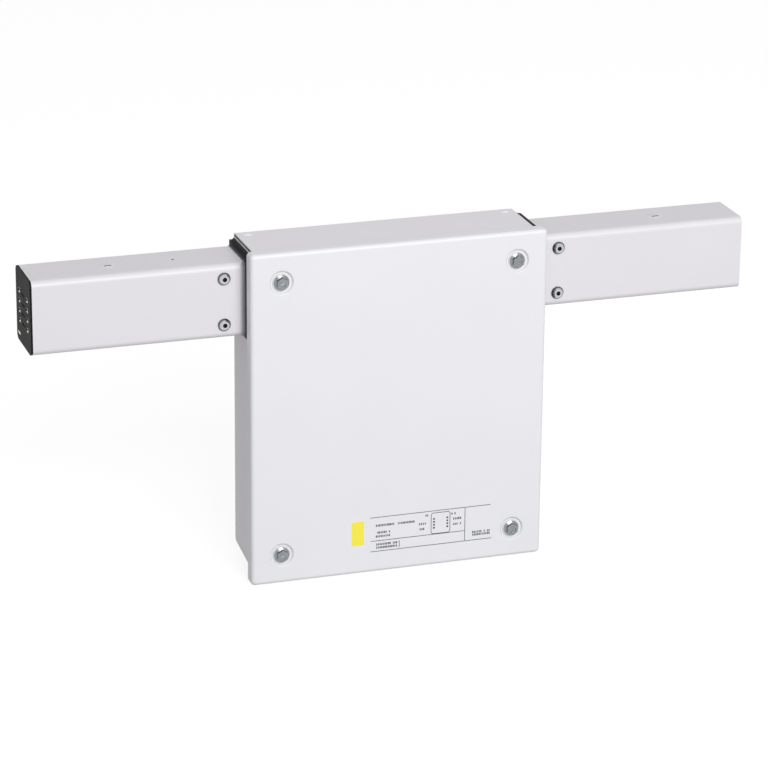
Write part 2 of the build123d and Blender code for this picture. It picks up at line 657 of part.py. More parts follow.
def bar_places():
    """Each bar's column and row, with the rear circuit first."""
    return [(column, row) for column in (REAR_COLUMN, FRONT_COLUMN) for row in BAR_ROWS]


def inner_moulding(x0, x1):
    """A solid that fits inside a stub's casing."""
    wall = 2 * TRUNK_WALL + CLEAR
    return trunk_bar(x0, x1, TRUNK_DEPTH - wall, TRUNK_HEIGHT - wall, TRUNK_CORNER - TRUNK_WALL)


def left_socket_block():
    """The black moulding in the left end: a flange over the casing's edge, with eight mouths."""
    moulding = trunk_bar(LEFT_END, LEFT_END + SOCKET_FLANGE, TRUNK_DEPTH, TRUNK_HEIGHT, TRUNK_CORNER)
    moulding += inner_moulding(LEFT_END, LEFT_END + SOCKET_LENGTH)
    start = LEFT_END - OVERCUT
    end = LEFT_END + SOCKET_LENGTH + OVERCUT
    half_y = SOCKET_MOUTH_DEEP / 2 + RUNNING
    half_z = SOCKET_MOUTH_HIGH / 2
    for y, z in bar_places():
        moulding -= block(start, end, y - half_y, y + half_y, z - half_z, z + half_z)
    half_y = FACE_GROOVE_LENGTH / 2
    half_z = FACE_GROOVE_WIDTH / 2
    for z in BAR_ROWS:
        moulding -= block(start, LEFT_END + FACE_GROOVE_DEPTH, TRUNK_MID_Y - half_y, TRUNK_MID_Y + half_y,
                          z - half_z, z + half_z)
    return moulding - earth_cut(start, end)


def earth_cut(x0, x1):
    """The room that a moulding leaves for the earth bar."""
    half_y = EARTH_BAR_DEEP / 2 + RUNNING
    half_z = EARTH_BAR_THICK / 2 + RUNNING
    return block(x0, x1, EARTH_BAR_Y - half_y, EARTH_BAR_Y + half_y,
                 EARTH_BAR_Z - half_z, EARTH_BAR_Z + half_z)


def left_contacts():
    """Sprung socket contacts: a folded sleeve round each bar's end, just inside its mouth."""
    half_y = SOCKET_MOUTH_DEEP / 2
    half_z = SOCKET_MOUTH_HIGH / 2 - RUNNING
    gap_y = half_y - SLEEVE_WALL
    gap_z = SLEEVE_GAP / 2
    start = LEFT_END + CONTACT_RECESS
    end = LEFT_END + SOCKET_LENGTH - SLEEVE_TAIL
    sleeves = []
    for y, z in bar_places():
        sleeve = block(start, end, y - half_y, y + half_y, z - half_z, z + half_z)
        sleeve -= block(start - OVERCUT, end + OVERCUT, y - gap_y, y + gap_y, z - gap_z, z + gap_z)
        sleeves.append(sleeve)
    return group(sleeves)


def bar_cut(x0, x1, y, z):
    """The room that a moulding leaves for one bar."""
    half_y = BAR_DEEP / 2 + RUNNING
    half_z = BAR_THICK / 2 + RUNNING
    return block(x0, x1, y - half_y, y + half_y, z - half_z, z + half_z)


def right_pin_block():
    """The black moulding that carries the pins, set back inside the right end."""
    end = RIGHT_END - PIN_SHROUD
    start = end - PIN_BLOCK_LENGTH
    moulding = inner_moulding(start, end)
    for y, z in bar_places():
        moulding -= bar_cut(start - OVERCUT, end + OVERCUT, y, z)
    return moulding - earth_cut(start - OVERCUT, end + OVERCUT)


def circuit_bars(column):
    """Four flat copper bars from the left sockets to the right pins."""
    bars = []
    for z in BAR_ROWS:
        bar = block(LEFT_END + SOCKET_LENGTH - SLEEVE_TAIL + CLEAR, RIGHT_END - PIN_SHROUD + PIN_REACH,
                    column - BAR_DEEP / 2, column + BAR_DEEP / 2, z - BAR_THICK / 2, z + BAR_THICK / 2)
        tip = bar.faces().sort_by(Axis.X)[-1]
        bars.append(chamfer(tip.edges().filter_by(Axis.Y), BAR_THICK / 4))
    return group(bars)


def earth_bar():
    """A flat bar low in the rear corner that bonds the two ends and the box."""
    half_y = EARTH_BAR_DEEP / 2
    half_z = EARTH_BAR_THICK / 2
    return block(LEFT_END + CONTACT_RECESS, RIGHT_END - PIN_SHROUD + PIN_REACH, EARTH_BAR_Y - half_y,
                 EARTH_BAR_Y + half_y, EARTH_BAR_Z - half_z, EARTH_BAR_Z + half_z)


def bar_carriers():
    """Insulating combs that hold the bars in the channel."""
    deep = CHANNEL_DEEP - 2 * CHANNEL_WALL - CLEAR
    high = CHANNEL_HIGH - 2 * CHANNEL_WALL - CLEAR
    outer = CHANNEL_END - CARRIER_THICK
    inner = BOX_SIDE - CHANNEL_WINDOW_INSET + CARRIER_THICK
    combs = []
    for side in (-1, 1):
        for distance in (outer, inner):
            start = side * distance - CARRIER_THICK / 2
            end = side * distance + CARRIER_THICK / 2
            comb = trunk_bar(start, end, deep, high, CHANNEL_CORNER - CLEAR / 2)
            for y, z in bar_places():
                comb -= bar_cut(start - OVERCUT, end + OVERCUT, y, z)
            combs.append(comb - earth_cut(start - OVERCUT, end + OVERCUT))
    return group(combs)


def terminal_x(index):
    """Centre of a terminal along the rail: eight for the circuits, then the earth terminal."""
    pitch = TERMINAL_WIDTH + TERMINAL_GAP
    return (index - 4) * pitch


def rail_foot(x, width, half):
    """The two feet of what clips on the rail, above and below it."""
    feet = []
    for level in (1, -1):
        near = RAIL_CENTRE + level * (RAIL_WIDTH / 2 + CLEAR)
        feet.append(block(x - width / 2, x + width / 2, TERMINAL_BACK, TERMINAL_BACK + TERMINAL_FOOT, near,
                          RAIL_CENTRE + level * half))
    return feet


def terminal(index):
    """A feed-through terminal: stepped shoulders, wire entries above and below, screws in front."""
    x = terminal_x(index)
    half = TERMINAL_HEIGHT / 2
    nose = TERMINAL_NOSE / 2
    shoulder = TERMINAL_FRONT + TERMINAL_SHOULDER
    step = TERMINAL_STEP
    upper = [(TERMINAL_BACK, half), (shoulder, half), (shoulder - step, nose + step), (TERMINAL_FRONT, nose)]
    outline = upper + [(y, -z) for y, z in reversed(upper)]
    side_plane = Plane(origin=(x - TERMINAL_WIDTH / 2, 0, RAIL_CENTRE), x_dir=(0, 1, 0), z_dir=(1, 0, 0))
    body = extrude(side_plane * make_face(Polyline(*outline, close=True)), amount=TERMINAL_WIDTH)
    for foot in rail_foot(x, TERMINAL_WIDTH, half):
        body += foot
    for level in (1, -1):
        mouth = (x, LEAD_PLANE, RAIL_CENTRE + level * (half + OVERCUT))
        body -= rod(mouth, (0, 0, -level), TERMINAL_ENTRY_RADIUS, TERMINAL_ENTRY_DEPTH + OVERCUT)
        screw_z = RAIL_CENTRE + level * TERMINAL_SCREW_SPACING / 2
        body -= rod((x, TERMINAL_FRONT - OVERCUT, screw_z), (0, 1, 0), TERMINAL_SCREW_RADIUS + RUNNING,
                    TERMINAL_SCREW_DEPTH + OVERCUT)
    return body


def terminal_screws():
    """Slotted clamp screws down the front holes of every terminal."""
    bottom = TERMINAL_FRONT + TERMINAL_SCREW_DEPTH
    top = bottom - TERMINAL_SCREW_LENGTH
    screws = []
    for index in range(2 * BAR_COUNT + 1):
        for level in (1, -1):
            x = terminal_x(index)
            z = RAIL_CENTRE + level * TERMINAL_SCREW_SPACING / 2
            past = TERMINAL_SCREW_RADIUS + OVERCUT
            screw = rod((x, bottom, z), (0, -1, 0), TERMINAL_SCREW_RADIUS, TERMINAL_SCREW_LENGTH)
            slot = block(x - past, x + past, top - OVERCUT, top + OVERCUT,
                         z - SLOT_WIDTH / 2, z + SLOT_WIDTH / 2)
            screws.append(screw - slot)
    return group(screws)


def terminal_end_stops():
    """A clip at each end of the row that keeps the terminals together."""
    stops = []
    for side, index in ((-1, 0), (1, 2 * BAR_COUNT)):
        x = terminal_x(index) + side * (TERMINAL_WIDTH / 2 + TERMINAL_GAP + END_STOP_WIDTH / 2)
        half_x = END_STOP_WIDTH / 2
        half = TERMINAL_HEIGHT / 2 - OVERCUT
        front = TERMINAL_BACK - END_STOP_REACH
        stop = block(x - half_x, x + half_x, TERMINAL_BACK, front, RAIL_CENTRE - half, RAIL_CENTRE + half)
        stop = fillet(stop.edges().filter_by(Axis.X).sort_by(Axis.Y)[:2], END_STOP_ROUND)
        for foot in rail_foot(x, END_STOP_WIDTH, half):
            stop += foot
        stop -= rod((x, front - OVERCUT, RAIL_CENTRE), (0, 1, 0), END_STOP_HOLE_RADIUS, END_STOP_REACH / 2)
        stops.append(stop)
    return group(stops)


def terminal_rail():
    """A 35 mm top-hat rail across the back of the box."""
    half = RAIL_LENGTH / 2
    brim = RAIL_WIDTH / 2
    hat = RAIL_BASE / 2
    t = RAIL_THICK
    rail = block(-half, half, -SHEET, -SHEET - t, RAIL_CENTRE - hat, RAIL_CENTRE + hat)
    for level in (1, -1):
        z = RAIL_CENTRE + level * hat
        rail += block(-half, half, -SHEET, RAIL_FRONT, z - level * t, z)
        rail += block(-half, half, RAIL_FRONT + t, RAIL_FRONT, z - level * t, RAIL_CENTRE + level * brim)
    for x in rail_screw_places():
        rail -= rod((x, 0, RAIL_CENTRE), (0, -1, 0), M4_RADIUS + RUNNING, SHEET + RAIL_THICK + OVERCUT)
    return rail


def rail_screw_places():
    """The two screws of the rail, outside the terminals."""
    return [-RAIL_LENGTH / 2 + RAIL_SCREW_INSET, RAIL_LENGTH / 2 - RAIL_SCREW_INSET]


def pan_screw(x, y, length):
    """A cross-slotted pan-head screw that points up from a level at zero, with its head below."""
    head = rod((x, y, 0), (0, 0, -1), M4_HEAD_RADIUS, M4_HEAD_HEIGHT)
    head = fillet(head.faces().sort_by(Axis.Z)[0].edges(), M4_HEAD_ROUND)
    inside = -M4_HEAD_HEIGHT / 4
    screw = head + rod((x, y, inside), (0, 0, 1), M4_RADIUS, length - inside)
    low = -M4_HEAD_HEIGHT
    for a, b in ((CROSS_LENGTH / 2, CROSS_WIDTH / 2), (CROSS_WIDTH / 2, CROSS_LENGTH / 2)):
        screw -= block(x - a, x + a, y - b, y + b, low - OVERCUT, low + CROSS_DEPTH)
    return screw


def rail_screws():
    """Screws through the rail into the back of the box."""
    turn = Pos(0, -SHEET - RAIL_THICK, RAIL_CENTRE) * Rot(-90, 0, 0)
    return group([turn * pan_screw(x, 0, RAIL_THICK + SHEET) for x in rail_screw_places()])


def tap_clamp(x, y, z):
    """A brass strap round a bar, with a stub towards the front that takes the lead."""
    outer = (CLAMP_WIDTH / 2, BAR_DEEP / 2 + CLAMP_THICK, BAR_THICK / 2 + CLAMP_THICK)
    clamp = block(x - outer[0], x + outer[0], y - outer[1], y + outer[1], z - outer[2], z + outer[2])
    past = CLAMP_WIDTH / 2 + OVERCUT
    return clamp - block(x - past, x + past, y - BAR_DEEP / 2, y + BAR_DEEP / 2,
                         z - BAR_THICK / 2, z + BAR_THICK / 2)


def tap_places():
    """Each tap: its terminal's place along the rail, and its bar's column and row."""
    return [(terminal_x(i), y, z) for i, (y, z) in enumerate(bar_places())]


def sweep_lead(points, bends):
    """A round lead along straight runs joined by arcs."""
    path = FilletPolyline(*points, radius=bends)
    start = path @ 0
    section = Plane(origin=start, z_dir=path % 0) * Circle(LEAD_RADIUS)
    return sweep(section, path=path)


def circuit_leads(first, column):
    """Leads of one circuit, from each bar's clamp to the top of its terminal."""
    bottom = RAIL_CENTRE + TERMINAL_HEIGHT / 2 - TERMINAL_ENTRY_DEPTH + LEAD_STRIP
    turn_z = TRUNK_TOP - TRUNK_HEIGHT - FRONT_LEAD_TURN
    leads = []
    for i, z in enumerate(BAR_ROWS):
        x = terminal_x(first + i)
        start = column - BAR_DEEP / 2 - CLAMP_THICK
        if column == REAR_COLUMN:
            points = [(x, start, z), (x, LEAD_PLANE, z), (x, LEAD_PLANE, bottom)]
            leads.append(sweep_lead(points, TIGHT_LEAD_BEND))
        else:
            points = [(x, start, z), (x, FRONT_LEAD_PLANE, z), (x, FRONT_LEAD_PLANE, turn_z),
                      (x, LEAD_PLANE, turn_z - FRONT_LEAD_FALL), (x, LEAD_PLANE, bottom)]
            leads.append(sweep_lead(points, LEAD_BEND))
    return group(leads)


def earth_leads():
    """Earth leads: from the earth bar to the earth terminal, and from there to the box's stud."""
    x = terminal_x(2 * BAR_COUNT)
    top = RAIL_CENTRE + TERMINAL_HEIGHT / 2 - TERMINAL_ENTRY_DEPTH + LEAD_STRIP
    low = RAIL_CENTRE - TERMINAL_HEIGHT / 2
    start_y = EARTH_BAR_Y - EARTH_BAR_DEEP / 2
    bar_lead = sweep_lead([(x, start_y, EARTH_BAR_Z), (x, LEAD_PLANE, EARTH_BAR_Z), (x, LEAD_PLANE, top)],
                          TIGHT_LEAD_BEND)
    lug_y = LUG_BACK - LUG_THICK
    lug_end = EARTH_STUD_Z + LUG_REACH
    points = [(x, LEAD_PLANE, low + TERMINAL_ENTRY_DEPTH - LEAD_STRIP), (x, LEAD_PLANE, low - STUD_LEAD_DROP),
              (EARTH_STUD_X, lug_y, lug_end + 2 * LUG_REACH), (EARTH_STUD_X, lug_y, lug_end)]
    stud_lead = sweep_lead(points, TIGHT_LEAD_BEND)
    return group([bar_lead, stud_lead])


def earth_stud():
    """The earth stud welded in the back of the box."""
    return rod((EARTH_STUD_X, -SHEET, EARTH_STUD_Z), (0, -1, 0), M5_RADIUS, EARTH_STUD_LENGTH)


def earth_lug():
    """The ring lug on the earth lead, held between two nuts."""
    half = LUG_NECK / 2
    front = LUG_BACK - LUG_THICK
    lug = rod((EARTH_STUD_X, LUG_BACK, EARTH_STUD_Z), (0, -1, 0), LUG_RADIUS, LUG_THICK)
    lug += block(EARTH_STUD_X - half, EARTH_STUD_X + half, LUG_BACK, front, EARTH_STUD_Z + M5_RADIUS + CLEAR,
                 EARTH_STUD_Z + LUG_REACH)
    return lug - rod((EARTH_STUD_X, LUG_BACK + OVERCUT, EARTH_STUD_Z), (0, -1, 0), M5_RADIUS + RUNNING,
                     LUG_THICK + 2 * OVERCUT)


def earth_nuts():
    """The two nuts on the earth stud."""
    starts = (LUG_BACK + EARTH_NUT_THICK, LUG_BACK - LUG_THICK)
    return group([nut(EARTH_STUD_X, start, EARTH_STUD_Z, EARTH_NUT_THICK) for start in starts])


def gland_screw_places():
    """The four corner screws of the gland plate."""
    x = GLAND_LENGTH / 2 - GLAND_SCREW_INSET
    y = GLAND_DEEP / 2 - GLAND_SCREW_SIDE_INSET
    return [(i * x, GLAND_CENTRE_Y + j * y) for i in (-1, 1) for j in (-1, 1)]


def gland_sheet(top, thick):
    """A flat rectangle of the gland plate's outline with its four screw holes."""
    x, y = GLAND_LENGTH / 2, GLAND_DEEP / 2
    sheet = block(-x, x, GLAND_CENTRE_Y - y, GLAND_CENTRE_Y + y, top - thick, top)
    sheet = fillet(sheet.edges().filter_by(Axis.Z), GLAND_CORNER)
    for sx, sy in gland_screw_places():
        sheet -= rod((sx, sy, top + OVERCUT), (0, 0, -1), M4_RADIUS + RUNNING, thick + 2 * OVERCUT)
    return sheet


def gland_seal():
    """A flat seal between the gland plate and the box."""
    seal = gland_sheet(BOX_BOTTOM, GLAND_SEAL)
    return on_slope(seal - gland_mouth(BOX_BOTTOM - GLAND_SEAL - OVERCUT, BOX_BOTTOM + OVERCUT))


def gland_plate():
    """The removable plate with a large cable entry and a smaller one on each side."""
    plate = gland_sheet(BOX_BOTTOM - GLAND_SEAL, GLAND_THICK)
    for x, radius in ((0, CABLE_ENTRY_RADIUS), (-ENTRY_SPACING, SIDE_ENTRY_RADIUS),
                      (ENTRY_SPACING, SIDE_ENTRY_RADIUS)):
        plate -= rod((x, GLAND_CENTRE_Y, BOX_BOTTOM), (0, 0, -1), radius, GLAND_SEAL + GLAND_THICK + OVERCUT)
    return on_slope(plate)


def gland_screws():
    """Pan-head screws that hold the gland plate from below."""
    face = Pos(0, 0, BOX_BOTTOM - GLAND_SEAL - GLAND_THICK)
    return group([on_slope(face * pan_screw(x, y, GLAND_SCREW_LENGTH)) for x, y in gland_screw_places()])


def blanking_plugs():
    """Plastic plugs in the two side entries."""
    face = BOX_BOTTOM - GLAND_SEAL - GLAND_THICK
    inside = face - PLUG_LIP_THICK / 2
    plugs = []
    for x in (-ENTRY_SPACING, ENTRY_SPACING):
        lip = rod((x, GLAND_CENTRE_Y, face), (0, 0, -1), SIDE_ENTRY_RADIUS + PLUG_LIP, PLUG_LIP_THICK)
        lip = fillet(lip.faces().sort_by(Axis.Z)[0].edges(), PLUG_LIP_ROUND)
        skirt = rod((x, GLAND_CENTRE_Y, inside), (0, 0, 1), SIDE_ENTRY_RADIUS - RUNNING,
                    face - inside + GLAND_THICK + PLUG_SKIRT)
        hollow = rod((x, GLAND_CENTRE_Y, face), (0, 0, 1), SIDE_ENTRY_RADIUS - RUNNING - PLUG_WALL,
                     GLAND_THICK + PLUG_SKIRT + OVERCUT)
        plugs.append(on_slope(lip + skirt - hollow))
    return group(plugs)


save(housing_body(), "housing_body")
for name, side in (("left", -1), ("right", 1)):
    save(side_panel(side), name + "_side_panel")
    save(stub_casing(side), name + "_stub_casing")
    save(entry_collar(side), name + "_entry_collar")
    save(stub_screws(side), name + "_stub_screws")
save(group([rivet(x, y, level) for x, y in rivet_places() for level in (1, -1)]), "housing_rivets")
save(group([press_nut(x, z) for x, z in cover_screw_places()]), "cover_press_nuts")
save(front_cover(), "front_cover")
save(cover_gasket(), "cover_gasket")
for i, (x, z) in enumerate(cover_screw_places(), start=1):
    save(cover_washer(x, z), "cover_washer_" + str(i))
    save(cover_screw(x, z), "cover_screw_" + str(i))
save(conductor_channel(), "conductor_channel")
save(channel_studs(), "channel_studs")
save(channel_nuts(), "channel_nuts")
save(left_socket_block(), "left_socket_block")
save(left_contacts(), "left_contacts")
save(right_pin_block(), "right_pin_block")
save(circuit_bars(REAR_COLUMN), "circuit_1_bars")
save(circuit_bars(FRONT_COLUMN), "circuit_2_bars")
save(earth_bar(), "earth_bar")
save(bar_carriers(), "bar_carriers")
taps = tap_places()
save(group([tap_clamp(*place) for place in taps[:BAR_COUNT]]), "circuit_1_tap_clamps")
save(group([tap_clamp(*place) for place in taps[BAR_COUNT:]]), "circuit_2_tap_clamps")
save(circuit_leads(0, REAR_COLUMN), "circuit_1_leads")
save(circuit_leads(BAR_COUNT, FRONT_COLUMN), "circuit_2_leads")
save(earth_leads(), "earth_leads")
save(terminal_rail(), "terminal_rail")
save(rail_screws(), "rail_screws")
save(group([terminal(i) for i in range(BAR_COUNT)]), "circuit_1_terminals")
save(group([terminal(i) for i in range(BAR_COUNT, 2 * BAR_COUNT)]), "circuit_2_terminals")
save(terminal(2 * BAR_COUNT), "earth_terminal")
save(terminal_screws(), "terminal_screws")
save(terminal_end_stops(), "terminal_end_stops")
save(earth_stud(), "earth_stud")
save(earth_lug(), "earth_lug")
save(earth_nuts(), "earth_nuts")
save(gland_plate(), "gland_plate")
save(gland_seal(), "gland_seal")
save(gland_screws(), "gland_screws")
save(blanking_plugs(), "blanking_plugs")
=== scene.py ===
# %% [markdown]
# # A centre feed unit for a busbar trunking line
#
# The object is a flat sheet-steel box with a trunking stub out of each side. The shapes come from
# a CAD model. This script gives them their finishes, adds the thin pieces that a CAD model leaves
# out, and sets the light and the camera. X runs along the line, the cover faces -Y and +Z is up.
# The scene is in metres. Outlines are written in millimetres, as on a drawing, and the functions
# that build them turn them into metres.

# %% Load the CAD model
import math

import bmesh
import bpy
from mathutils import Matrix, Vector


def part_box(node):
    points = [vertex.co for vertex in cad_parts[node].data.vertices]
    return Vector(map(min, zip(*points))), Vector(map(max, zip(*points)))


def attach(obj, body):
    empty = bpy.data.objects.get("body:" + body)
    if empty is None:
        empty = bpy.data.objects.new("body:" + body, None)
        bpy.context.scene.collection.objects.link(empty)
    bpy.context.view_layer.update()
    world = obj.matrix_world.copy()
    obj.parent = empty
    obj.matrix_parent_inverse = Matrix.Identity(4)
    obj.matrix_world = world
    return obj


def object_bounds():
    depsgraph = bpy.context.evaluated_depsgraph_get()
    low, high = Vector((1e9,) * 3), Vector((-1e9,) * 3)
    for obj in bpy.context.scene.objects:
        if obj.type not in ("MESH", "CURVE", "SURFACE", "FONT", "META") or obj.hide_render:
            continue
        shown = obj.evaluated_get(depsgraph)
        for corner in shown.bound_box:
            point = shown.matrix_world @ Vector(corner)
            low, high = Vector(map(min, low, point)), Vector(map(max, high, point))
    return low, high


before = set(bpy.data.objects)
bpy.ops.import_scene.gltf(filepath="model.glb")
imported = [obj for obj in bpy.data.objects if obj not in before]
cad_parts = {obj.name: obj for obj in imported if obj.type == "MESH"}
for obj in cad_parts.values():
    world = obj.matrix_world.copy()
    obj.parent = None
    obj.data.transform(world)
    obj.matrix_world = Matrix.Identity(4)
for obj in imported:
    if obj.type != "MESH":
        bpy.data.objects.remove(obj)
cad_bounds = [list(corner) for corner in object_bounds()]
print("CAD nodes:", len(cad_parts), "box:", cad_bounds)

# %% [markdown]
# ## The camera
#
# The picture was taken from the front, a little to the left and above, with a long lens, so the
# edges hardly converge. The place and the turn of the camera were worked out from the corners of
# the object in the picture. A camera could be aimed with a constraint, but three plain axes put
# in its matrix keep every number in sight.

# %% Camera
CAMERA_PLACE = (-0.77322, -2.3626, 0.9271)
CAMERA_RIGHT = Vector((0.95028, -0.31127, 0.00912))
CAMERA_UP = Vector((0.09835, 0.32779, 0.93962))
CAMERA_LENS = 164.106
CAMERA_SENSOR = 36.0
CAMERA_NEAR = 0.1
CAMERA_FAR = 30.0

camera_data = bpy.data.cameras.new("camera")
camera_data.lens = CAMERA_LENS
camera_data.sensor_width = CAMERA_SENSOR
camera_data.clip_start = CAMERA_NEAR
camera_data.clip_end = CAMERA_FAR
camera = bpy.data.objects.new("camera", camera_data)
bpy.context.scene.collection.objects.link(camera)
camera_back = CAMERA_RIGHT.cross(CAMERA_UP)
camera_turn = Matrix((CAMERA_RIGHT, CAMERA_UP, camera_back)).transposed()
camera.matrix_world = Matrix.Translation(CAMERA_PLACE) @ camera_turn.to_4x4()
bpy.context.scene.camera = camera
print("camera distance, metres:", round(Vector(CAMERA_PLACE).length, 3))

# %% [markdown]
# ## Helpers for materials
#
# Colours are written as sRGB hex, as a paint chart gives them, and one function turns them into
# the linear values that Blender's shaders use. A second function adds a shader node, sets it and
# wires it in one line. A third works out a texture's scale from the real size of one bump or
# grain in millimetres. Most finishes then share three traits: a tone that changes in patches, a
# gloss that varies and fine bumps. Each trait has a function, so a finish reads as a short list.

# %% Colour, node and scale helpers
def linear(hex_colour):
    """The linear colour of an sRGB hex value."""
    channels = [int(hex_colour[i:i + 2], 16) / 255 for i in (0, 2, 4)]
    return [c / 12.92 if c <= 0.04045 else ((c + 0.055) / 1.055) ** 2.4 for c in channels] + [1.0]


def add(tree, kind, settings=None, links=None):
    """Add a node. A setting is a property of the node or one of its sockets, by name or number."""
    node = tree.nodes.new(kind)
    for name, value in (settings or {}).items():
        if isinstance(name, str) and hasattr(node, name):
            setattr(node, name, value)
        else:
            node.inputs[name].default_value = value
    for name, source in (links or {}).items():
        tree.links.new(source, node.inputs[name])
    return node


def per_mm(size):
    """The texture scale at which one feature is this many millimetres across."""
    return 1000.0 / size


def new_material(name):
    """An empty material, its tree, its Principled shader and its Object coordinates."""
    material = bpy.data.materials.new(name)
    material.use_nodes = True
    tree = material.node_tree
    tree.nodes.clear()
    shader = add(tree, "ShaderNodeBsdfPrincipled")
    add(tree, "ShaderNodeOutputMaterial", links={"Surface": shader.outputs["BSDF"]})
    place = add(tree, "ShaderNodeTexCoord").outputs["Object"]
    return material, tree, shader, place


print("white of the paint, linear:", [round(c, 3) for c in linear("EAEAEE")])

# %% Traits that most finishes share
def two_tones(tree, shader, factor, dark, light):
    """Colour the shader between two tones by a factor from 0 to 1."""
    colour = add(tree, "ShaderNodeMix", {"data_type": "RGBA", 6: linear(dark), 7: linear(light)},
                 {0: factor})
    tree.links.new(colour.outputs[2], shader.inputs["Base Color"])


def patchy_colour(tree, shader, place, size, detail, dark, light):
    """Two tones in soft patches of that many millimetres. The pattern is given back."""
    patches = add(tree, "ShaderNodeTexNoise", {"Scale": per_mm(size), "Detail": detail},
                  {"Vector": place})
    two_tones(tree, shader, patches.outputs["Fac"], dark, light)
    return patches.outputs["Fac"]


def varied_gloss(tree, shader, factor, low, high):
    """Let the roughness run from low to high by a factor from 0 to 1."""
    rough = add(tree, "ShaderNodeMapRange", {3: low, 4: high}, {0: factor})
    tree.links.new(rough.outputs[0], shader.inputs["Roughness"])


def fine_bumps(tree, shader, place, size, detail, strength, height):
    """Bumps of that many millimetres across and that many metres high."""
    bumps = add(tree, "ShaderNodeTexNoise", {"Scale": per_mm(size), "Detail": detail},
                {"Vector": place})
    raised = add(tree, "ShaderNodeBump", {"Strength": strength, "Distance": height},
                 {"Height": bumps.outputs["Fac"]})
    tree.links.new(raised.outputs["Normal"], shader.inputs["Normal"])


print("a grain of 2 mm has the scale", per_mm(2))

# %% [markdown]
# ## Powder-coated steel
#
# The box, its cover and the trunking are painted with a white polyester powder. The powder melts
# into a film that is smooth from afar and has a faint orange peel up close, with bumps about
# 1.6 mm across and a few hundredths of a millimetre high. A noise texture in the bump channel
# gives that. A second, wide noise makes the film a touch thinner here and there, so the large
# flat faces are not perfectly even. The cover, the box and the trunking come out of different
# batches of powder, so their whites differ by a shade. The rivet heads carry a painted highlight:
# they get a whiter paint and less peel than the box, so that they show as small pale marks on the
# top, as their domes would where they catch the lamp.

# %% White powder coat
COAT_PATCH = 70
COAT_SHEEN = 9
COAT_PEEL = 1.6
PEEL_HEIGHT = 0.00003
COAT_ROUGH = (0.36, 0.46)


def powder_coat(name, light, dark, peel):
    """Polyester powder paint: satin gloss, orange peel, slight change of film thickness."""
    material, tree, shader, place = new_material(name)
    shader.inputs["IOR"].default_value = 1.5
    patchy_colour(tree, shader, place, COAT_PATCH, 3.0, dark, light)
    gloss = add(tree, "ShaderNodeTexNoise", {"Scale": per_mm(COAT_SHEEN), "Detail": 2.0},
                {"Vector": place})
    varied_gloss(tree, shader, gloss.outputs["Fac"], *COAT_ROUGH)
    fine_bumps(tree, shader, place, COAT_PEEL, 1.0, peel, PEEL_HEIGHT)
    return material


cover_coat = powder_coat("white_powder_coat_cover", "EBEBEF", "E7E7EB", 0.6)
housing_coat = powder_coat("white_powder_coat_housing", "ECE9EE", "E8E5EA", 0.6)
trunking_coat = powder_coat("white_powder_coat_trunking", "E4E1E6", "E0DDE2", 0.6)
# Painted highlight: the rivets' whiter paint stands in for the light their domes catch.
rivet_highlight_coat = powder_coat("rivet_paint_painted_highlight", "F7F7F9", "F3F3F5", 0.2)
print("made", cover_coat.name, housing_coat.name, trunking_coat.name, rivet_highlight_coat.name)

# %% [markdown]
# ## Plated metals
#
# The screws are zinc plated, the parts inside are cut from galvanised sheet and the bars are
# tinned copper. All of them are metals, so the colour sits in the base colour, Metallic is 1 and
# the IOR keeps its default. What tells them apart is the grain: fine and even on zinc, large
# crystals called spangle on galvanised sheet, and soft clouds on tin and nickel. The grain of
# zinc is drawn coarser than the real one, which is too fine to show.

# %% Zinc, galvanised sheet and tin
PLATING_GRAIN = 0.35
PLATING_HEIGHT = 0.00001
SPANGLE = 7
SPANGLE_WARP = 5
WARP_SHARE = 0.0015
SPANGLE_ROUGH = (0.34, 0.52)


def plated_metal(name, light, dark, grain, rough_low, rough_high, relief):
    """A plated metal with an even grain of that many millimetres."""
    material, tree, shader, place = new_material(name)
    shader.inputs["Metallic"].default_value = 1.0
    patches = patchy_colour(tree, shader, place, grain, 4.0, dark, light)
    varied_gloss(tree, shader, patches, rough_low, rough_high)
    fine_bumps(tree, shader, place, PLATING_GRAIN, 2.0, relief, PLATING_HEIGHT)
    return material


def spangled_sheet(name, light, dark):
    """Hot-dip galvanised sheet: flat crystals about 7 mm across, each with its own sheen."""
    material, tree, shader, place = new_material(name)
    shader.inputs["Metallic"].default_value = 1.0
    warp = add(tree, "ShaderNodeTexNoise", {"Scale": per_mm(SPANGLE_WARP), "Detail": 3.0},
               {"Vector": place})
    bent = add(tree, "ShaderNodeMix", {"data_type": "VECTOR", 0: WARP_SHARE},
               {4: place, 5: warp.outputs["Color"]})
    crystal = add(tree, "ShaderNodeTexVoronoi", {"Scale": per_mm(SPANGLE)},
                  {"Vector": bent.outputs[1]})
    grey = add(tree, "ShaderNodeSeparateColor", links={"Color": crystal.outputs["Color"]})
    two_tones(tree, shader, grey.outputs["Red"], dark, light)
    varied_gloss(tree, shader, grey.outputs["Green"], *SPANGLE_ROUGH)
    return material


zinc_plated_steel = plated_metal("zinc_plated_steel", "A6A9AD", "84888D", 2.5, 0.26, 0.42, 0.4)
galvanised_steel = spangled_sheet("galvanised_steel", "D3D6D8", "B4B8BC")
tinned_copper = plated_metal("tinned_copper", "E6E3DC", "CFCBC2", 4.0, 0.22, 0.36, 0.2)
nickel_plated_brass = plated_metal("nickel_plated_brass", "E4DCC8", "CFC3A4", 3.0, 0.24, 0.38, 0.2)
print("made", zinc_plated_steel.name, galvanised_steel.name, tinned_copper.name)
